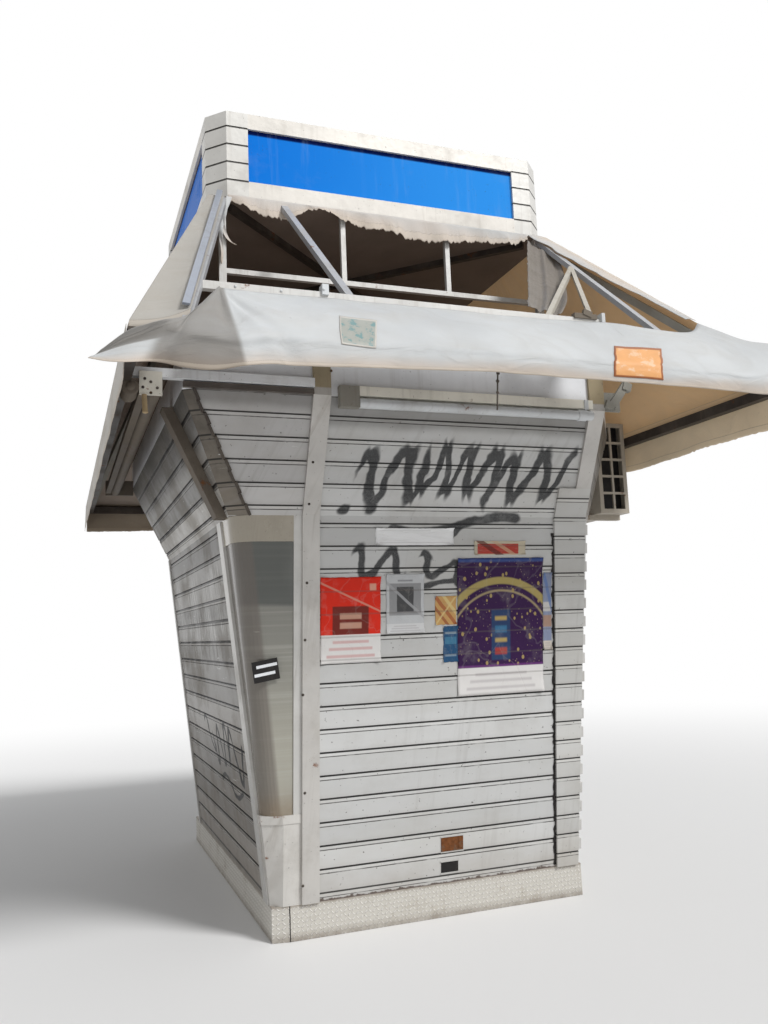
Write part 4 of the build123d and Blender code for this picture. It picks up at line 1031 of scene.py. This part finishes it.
# colour of the paper, colour and share of its foot, printed forms, and the ink of the foot
paperFinishes = {
    "redPaper": ((0.78, 0.028, 0.01), (0.72, 0.7, 0.68), 0.33, [
        ("block", (0.2, 0.8, 0.33, 0.66), (0.07, 0.02, 0.015), 0.85),
        ("block", (0.32, 0.68, 0.4, 0.47), (0.62, 0.36, 0.26), 0.8),
        ("block", (0.32, 0.68, 0.51, 0.58), (0.62, 0.36, 0.26), 0.8),
        ("band", (0.35, 1, 0.94, 0.012), (0.7, 0.4, 0.3), 0.6),
        ("block", (0.82, 0.93, 0.84, 0.92), (0.75, 0.5, 0.35), 0.7)], (0.5, 0.03, 0.03)),
    "greyPaper": ((0.6, 0.61, 0.62), (0.66, 0.66, 0.66), 0.16, [
        ("block", (0.08, 0.92, 0.3, 0.84), (0.23, 0.23, 0.235), 0.8),
        ("block", (0.28, 0.72, 0.36, 0.78), (0.03, 0.03, 0.032), 0.85),
        ("band", (0.6, 1, 0.86, 0.03), (0.4, 0.4, 0.41), 0.8),
        ("block", (0.3, 0.7, 0.87, 0.9), (0.2, 0.2, 0.21), 0.7)]),
    "purplePaper": ((0.035, 0.007, 0.06), (0.72, 0.7, 0.68), 0.2, [
        ("ring", ((0.5, 0.3), 0.72, 0.035), (0.5, 0.4, 0.13), 0.8),
        ("ring", ((0.5, 0.3), 0.62, 0.01), (0.5, 0.4, 0.2), 0.7),
        ("dots", (13, 0.24), (0.45, 0.33, 0.12), 0.8),
        ("dots", (31, 0.18), (0.4, 0.3, 0.2), 0.5),
        ("block", (0.39, 0.61, 0.25, 0.62), (0.02, 0.05, 0.13), 0.9),
        ("block", (0.43, 0.57, 0.29, 0.34), (0.4, 0.04, 0.025), 0.9),
        ("block", (0.43, 0.57, 0.38, 0.41), (0.5, 0.36, 0.11), 0.85),
        ("block", (0.43, 0.57, 0.45, 0.5), (0.04, 0.16, 0.3), 0.9),
        ("block", (0.43, 0.57, 0.54, 0.57), (0.5, 0.36, 0.11), 0.85),
        ("block", (0.0, 1.0, 0.2, 0.215), (0.16, 0.04, 0.2), 0.9),
        ("block", (0.0, 1.0, 0.97, 1.0), (0.05, 0.1, 0.3), 0.8)]),
    "tanPaper": ((0.62, 0.36, 0.13), None, 0, [
        ("band", (1, 1, 0.6, 0.08), (0.3, 0.08, 0.03), 0.8),
        ("band", (1, 1, 1.0, 0.1), (0.36, 0.1, 0.04), 0.8),
        ("band", (1, 1, 1.4, 0.09), (0.7, 0.55, 0.25), 0.8),
        ("band", (-1, 1, 0.0, 0.05), (0.7, 0.55, 0.25), 0.7)]),
    "bluePaper": ((0.02, 0.085, 0.19), None, 0, [
        ("block", (0.12, 0.88, 0.78, 0.84), (0.35, 0.45, 0.52), 0.7),
        ("block", (0.12, 0.88, 0.5, 0.7), (0.06, 0.2, 0.32), 0.8),
        ("block", (0.12, 0.88, 0.16, 0.22), (0.35, 0.45, 0.52), 0.5)]),
    "topPaper": ((0.6, 0.53, 0.4), None, 0, [
        ("block", (0.06, 0.86, 0.08, 0.8), (0.42, 0.03, 0.02), 0.95),
        ("band", (1, 0.4, 0.5, 0.08), (0.12, 0.02, 0.015), 0.8),
        ("band", (1, 0.4, 0.78, 0.06), (0.6, 0.4, 0.25), 0.6)]),
    "whitePaper": ((0.95, 0.95, 0.95), None, 0, [
        ("block", (0.05, 0.95, 0.12, 0.2), (0.6, 0.58, 0.58), 0.5),
        ("block", (0.05, 0.7, 0.82, 0.88), (0.6, 0.58, 0.58), 0.4)]),
    "edgePaper": ((0.28, 0.32, 0.45), (0.62, 0.57, 0.5), 0.12, [
        ("block", (0, 1, 0.3, 0.45), (0.42, 0.24, 0.14), 0.8),
        ("block", (0, 1, 0.5, 0.62), (0.66, 0.63, 0.58), 0.8),
        ("band", (0.5, 1, 1.05, 0.09), (0.12, 0.2, 0.42), 0.8)]),
}


def paperPlace(settings, seed, u, v):
    left, right, low, high = settings["box"]
    x = left + (right - left) * u
    z = low + (high - low) * v
    corner = max(0, abs(u - 0.5) * 2 - 0.75) * max(0, abs(v - 0.5) * 2 - 0.8)
    lift = settings["lift"] + 0.0012 * (1 + noise.noise(Vector((x * 14, z * 14, seed))))
    lift += 0.25 * corner * (1 + noise.noise(Vector((x * 3, z * 3, seed + 9))))
    # cut edges that aren't quite straight, and a torn corner
    x += 0.002 * noise.noise(Vector((u * 3, v * 5, seed)))
    if max(abs(u - 0.5), abs(v - 0.5)) > 0.49:
        nick = 0.004 * max(0, noise.noise(Vector((x * 60, z * 60, seed))) - 0.1)
        x -= math.copysign(nick, u - 0.5)
        z -= math.copysign(nick, v - 0.5)
    return onFront(x, z, lift)


for seed, (name, settings) in enumerate(papers.items()):
    paperFinish(name, *paperFinishes[name])
    gluedSheet(name, 30, 42, partial(paperPlace, settings, seed))
print("papers stuck on")


# small hard parts
def smallParts(name, finish, shapes, edge=0.0012):
    # plates by middle, size and turns in degrees; rods by ends and radius; domes by middle,
    # radius and the way that they face
    bm = bmesh.new()
    for kind, *values in shapes:
        if kind == "plate":
            middle, size, turns = (*values, (0, 0, 0))[:3]
            made = bmesh.ops.create_cube(bm, size=1)["verts"]
            bmesh.ops.scale(bm, vec=size, verts=made)
            turn = Euler([math.radians(angle) for angle in turns]).to_matrix()
            rounding = min(edge, min(size) * 0.3)
        elif kind == "rod":
            start, end, radius = (*map(Vector, values[:2]), values[2])
            middle = (start + end) / 2
            made = bmesh.ops.create_cone(bm, cap_ends=True, segments=20, radius1=radius,
                                         radius2=radius, depth=(end - start).length)["verts"]
            turn = (end - start).to_track_quat("Z", "Y").to_matrix()
            rounding = radius * 0.15
        else:
            middle, radius, facing = values
            made = bmesh.ops.create_uvsphere(bm, u_segments=16, v_segments=8, radius=radius)["verts"]
            bmesh.ops.scale(bm, vec=(1, 1, 0.5), verts=made)
            turn = Vector(facing).to_track_quat("Z", "Y").to_matrix()
            rounding = 0
        chosen = set(made)
        rims = [side for side in bm.edges if side.verts[0] in chosen and (kind == "plate" or abs(
            side.verts[0].co.z - side.verts[1].co.z) < 1e-6)]
        bmesh.ops.rotate(bm, matrix=turn, verts=made, cent=(0, 0, 0))
        bmesh.ops.translate(bm, vec=middle, verts=made)
        if rounding:
            bmesh.ops.bevel(bm, geom=rims, offset=rounding, affect="EDGES", segments=2, profile=0.5,
                            material=-1)
    finished(name, bm, [finish])


wallTilt = math.degrees(math.atan(cabin["lean"] / (cabin["bend"] - cabin["skirt"])))
postScrews = [(-0.692, -1.225, 0.249), (-0.683, -1.272, 0.678), (-0.693, -1.322, 1.137),
              (-0.683, -1.35, 1.394), (-0.674, -1.38, 1.663), (-0.669, -1.439, 2.035),
              (-0.669, -1.527, 2.221), (-0.609, -1.667, 2.626)]
smallParts("postScrews", "dark steel",
           [("dome", spot, 0.007, (0, -1, -0.11)) for spot in postScrews])
smallParts("purlinClips", "white sheet metal", [
    ("plate", (-0.692, -1.866, 2.926), (0.031, 0.05, 0.05)),
    ("plate", (0.748, -1.868, 2.914), (0.02, 0.05, 0.068)),
    ("dome", (-0.70, -1.893, 2.925), 0.006, (0, -1, 0)),
    ("dome", (-0.89, -1.880, 2.903), 0.006, (0, -1, 0)),
    ("dome", (-1.09, -1.880, 2.903), 0.006, (0, -1, 0))])
smallParts("purlinBracket", "shaded grimy aluminium", [
    ("plate", (0.65, -1.872, 2.926), (0.13, 0.03, 0.026)),
    ("plate", (0.66, -1.882, 2.94), (0.05, 0.02, 0.03), (0, 18, 0))])
smallParts("hangingRod", "dark steel", [
    ("rod", (-0.047, -2.235, 2.502), (-0.058, -2.23, 2.324), 0.0035),
    ("dome", (-0.050, -2.233, 2.45), 0.008, (0, -1, 0)),
    ("dome", (-0.053, -2.232, 2.40), 0.007, (0, -1, 0)),
    ("plate", (-0.047, -2.235, 2.49), (0.014, 0.008, 0.022), (0, 0, 20))], 0.0006)
smallParts("rollerCap", "white sheet metal", [
    ("rod", (0.70, -1.672, 2.478), (0.752, -1.672, 2.478), 0.03),
    ("plate", (0.745, -1.672, 2.53), (0.022, 0.05, 0.05))])
smallParts("headBracket", "bracket grey", [
    ("plate", (0.965, -1.672, 2.6), (0.045, 0.016, 0.15), (0, 38, 0)),
    ("plate", (1.012, -1.672, 2.645), (0.05, 0.03, 0.045), (0, 20, 0)),
    ("plate", (0.9, -1.672, 2.54), (0.05, 0.024, 0.04), (0, 20, 0))])

# serrated strip down the mitre of the corner flare: the turned ends of its slats
mitre = {"low": Vector((-0.95, -1.402, 1.985)), "high": Vector((-1.241, -1.652, 2.51)), "count": 11}
mitreRun = mitre["high"] - mitre["low"]
mitreParts = []
for i in range(mitre["count"]):
    spot = mitre["low"] + mitreRun * (i + 0.5) / mitre["count"]
    spot += Vector((-0.003 if i % 2 else 0.003, -0.003, 0))
    mitreParts.append(("plate", spot, (0.013, 0.012, mitreRun.length / mitre["count"] * 1.02),
                       (25.5, -29, 0)))
smallParts("mitreStrip", "dark steel", mitreParts)

# end caps that step out down the right edge of the corner cover
capSettings = {"count": 18, "x": 0.819, "slope": 0.0352, "size": (0.03, 0.03, 0.055), "sunk": 0.012}
capParts = []
for i in range(capSettings["count"]):
    z = slatLines["cover"][0] + slatLines["cover"][1] * (i + 0.36)
    x = capSettings["x"] + capSettings["slope"] * (z - cabin["skirt"])
    capParts.append(("plate", onFront(x, z, -capSettings["sunk"]), capSettings["size"],
                     (wallTilt, 0, 0)))
smallParts("coverCaps", "aluminium profile", capParts)


def wallPlate(x, z, proud, size):
    return "plate", onFront(x, z, proud), size, (wallTilt, 0, 0)


# lock plate and slot low on the front shutter, each with its frame
smallParts("rustyPlate", "rusty steel", [
    wallPlate(0.0855, 0.35, 0.002, (0.121, 0.004, 0.068)),
    wallPlate(0.128, 0.352, 0.0045, (0.02, 0.003, 0.05))])
smallParts("plateFrame", "aluminium profile", [
    wallPlate(0.0715, 0.268, 0.002, (0.104, 0.006, 0.008)),
    wallPlate(0.0715, 0.208, 0.002, (0.104, 0.006, 0.008)),
    wallPlate(0.0855, 0.388, 0.002, (0.126, 0.005, 0.006)),
    wallPlate(0.0855, 0.312, 0.002, (0.126, 0.005, 0.006))])
# the slot is a dark plate, painted shade of the opening
smallParts("darkSlot", "unit coil", [
    wallPlate(0.0715, 0.238, 0.001, (0.094, 0.003, 0.05))])

# bolts, end and hook of the awning gear
smallParts("gearBolts", "dark steel", [
    ("dome", (x, -1.702, z), 0.0065, (0, -1, 0)) for x, z in (
        (-1.425, 2.512), (-1.398, 2.487), (-1.425, 2.464), (-1.458, 2.487), (-1.45, 2.525))])
smallParts("gearEnd", "shaded grimy aluminium", [
    ("rod", (-1.512, -1.742, 2.478), (-1.512, -1.60, 2.478), 0.036),
    ("dome", (-1.512, -1.742, 2.478), 0.02, (0, -1, 0))])
smallParts("gearHook", "tan plate", [
    ("rod", (-1.454, -1.712, 2.452), (-1.45, -1.716, 2.375), 0.011),
    ("dome", (-1.45, -1.716, 2.375), 0.013, (0, 0, -1))])

# rail that holds the gore's edge
railSettings = {"top": Vector((-0.987, -0.962, 3.800)), "low": Vector((-1.338, -2.150, 2.684)),
                "width": 0.03, "thick": 0.012, "rounding": 0.0025, "lift": 0.016,
                "slopeFacing": Vector((0, -0.684, 0.729))}
railRun = railSettings["low"] - railSettings["top"]
railAcross = railRun.cross(railSettings["slopeFacing"]).normalized()
railUp = railAcross.cross(railRun).normalized()
if railUp.z < 0:
    railUp = -railUp
bm = bmesh.new()
made = bmesh.ops.create_cube(bm, size=1)["verts"]
bmesh.ops.scale(bm, vec=(railSettings["width"], railSettings["thick"], railRun.length), verts=made)
bmesh.ops.bevel(bm, geom=list(bm.edges), offset=railSettings["rounding"], affect="EDGES",
                segments=3, profile=0.5, material=-1)
railTurn = Matrix((railAcross, railUp, railAcross.cross(railUp))).transposed()
bmesh.ops.rotate(bm, matrix=railTurn, verts=bm.verts, cent=(0, 0, 0))
railMiddle = (railSettings["top"] + railSettings["low"]) / 2
bmesh.ops.translate(bm, vec=railMiddle + railUp * railSettings["lift"], verts=bm.verts)
finished("goreRail", bm, ["blue grey rail"])

# dark strip down the right end of the front shutter, painted shade of the gap there, frayed along
# both edges
gapShadeSettings = {"x": 0.6815, "low": 0.172, "height": 1.73, "half": 0.008, "proud": 0.0035}


def gapShadePlace(u, v):
    z = gapShadeSettings["low"] + gapShadeSettings["height"] * v
    half = gapShadeSettings["half"] * (1 + 1.3 * noise.noise(Vector((z * 42, (u - 0.5) * 3, 3))))
    x = gapShadeSettings["x"] + (2 * u - 1) * half + 0.003 * noise.noise(Vector((z * 9, 0, 0)))
    return onFront(x, z, gapShadeSettings["proud"])


sheetPiece("frontGapShade", 2, 160, gapShadePlace, (1, 1), ["unit coil"], thick=0.002, slot="dark_steel",
           mapName="sealMap")

# a dark patch with two pale stripes on the pane
smallParts("panePatch", "unit coil", [
    ("plate", (-0.872, -1.3335, 1.26), (0.125, 0.0012, 0.1), (wallTilt, -9, 0))], 0.0004)
smallParts("paneStripes", "bright sheet metal", [
    ("plate", (-0.868, -1.3373, 1.283), (0.1, 0.001, 0.014), (wallTilt, -9, 0)),
    ("plate", (-0.876, -1.3331, 1.244), (0.1, 0.001, 0.014), (wallTilt, -9, 0))], 0.0003)
print("small parts fitted")

# world, lamps, floor
stageSettings = {"fill": 0.46, "sunStrength": 2.55, "sunAngle": 16, "sunTilt": 46, "sunTurn": 34,
                 "floorColour": (0.74, 0.735, 0.73), "floorRadius": 40, "fadeFrom": 3.0,
                 "fadeTo": 12.0}


def whereSeen(tree):
    rays = put(tree, "LightPath").outputs
    camera, gloss, through = (Value(rays["Is " + kind + " Ray"])
                              for kind in ("Camera", "Glossy", "Transmission"))
    return calc("MAXIMUM", camera, calc("MAXIMUM", gloss, through))


def glow(tree, kind, colour, strength):
    made = put(tree, kind, {"Color": (*colour, 1), "Strength": strength})
    return Value(made.outputs[0])


def buildStage():
    world = bpy.data.worlds.new("studio")
    bpy.context.scene.world = world
    world.use_nodes = True
    tree = world.node_tree
    tree.nodes.clear()
    fill = glow(tree, "Background", (0.97, 0.985, 1), stageSettings["fill"])
    white = glow(tree, "Background", (1, 1, 1), 1.0)
    mixed = put(tree, "MixShader", {0: whereSeen(tree), 1: fill, 2: white}).outputs[0]
    put(tree, "OutputWorld", {"Surface": Value(mixed)})

    bm = bmesh.new()
    bmesh.ops.create_circle(bm, cap_ends=True, segments=96, radius=stageSettings["floorRadius"])
    mesh = bpy.data.meshes.new("studioFloor")
    bm.to_mesh(mesh)
    bm.free()
    floor = bpy.data.objects.new("studioFloor", mesh)
    floor.location.z = -0.001
    bpy.context.scene.collection.objects.link(floor)
    # the floor fades to white far from the kiosk
    shader, place = newMaterial("studio floor", 0, 0.8, coatRoughness=0.03)
    shader.inputs["Base Color"].default_value = (*stageSettings["floorColour"], 1)
    tree = place.tree
    far = fade(calc("LENGTH", place), stageSettings["fadeFrom"], stageSettings["fadeTo"])
    amount = whereSeen(tree) * far
    white = glow(tree, "Emission", (1, 1, 1), 1.0)
    mixed = put(tree, "MixShader", {0: amount, 1: Value(shader.outputs[0]), 2: white}).outputs[0]
    tree.links.new(mixed, tree.nodes["Material Output"].inputs["Surface"])
    mesh.materials.append(finishes["studio floor"])

    lamp = bpy.data.lights.new("key", "SUN")
    lamp.energy = stageSettings["sunStrength"]
    lamp.angle = math.radians(stageSettings["sunAngle"])
    key = bpy.data.objects.new("key", lamp)
    key.rotation_euler = (math.radians(stageSettings["sunTilt"]), 0,
                          math.radians(stageSettings["sunTurn"]))
    bpy.context.scene.collection.objects.link(key)


def buildCamera():
    yaw, pitch, roll = (math.radians(cameraSettings[name]) for name in ("yaw", "pitch", "roll"))
    ahead = Vector((math.sin(yaw) * math.cos(pitch), math.cos(yaw) * math.cos(pitch),
                    math.sin(pitch)))
    level = Vector((math.cos(yaw), -math.sin(yaw), 0))
    upright = level.cross(ahead)
    right = level * math.cos(roll) + upright * math.sin(roll)
    up = upright * math.cos(roll) - level * math.sin(roll)
    data = bpy.data.cameras.new("camera")
    data.sensor_fit = "VERTICAL"
    data.sensor_height = 36
    data.lens = cameraSettings["lens"]
    camera = bpy.data.objects.new("camera", data)
    turn = Matrix((right, up, -ahead)).transposed()
    camera.matrix_world = Matrix.Translation(cameraSettings["place"]) @ turn.to_4x4()
    bpy.context.scene.collection.objects.link(camera)
    bpy.context.scene.camera = camera


cameraSettings = {"place": (-1.795, -5.462, 1.414), "yaw": 20.51, "pitch": 7.77, "roll": -2.29,
                  "lens": 31.06}
buildCamera()
buildStage()
bpy.context.scene.view_settings.view_transform = "Standard"
print("stage set")
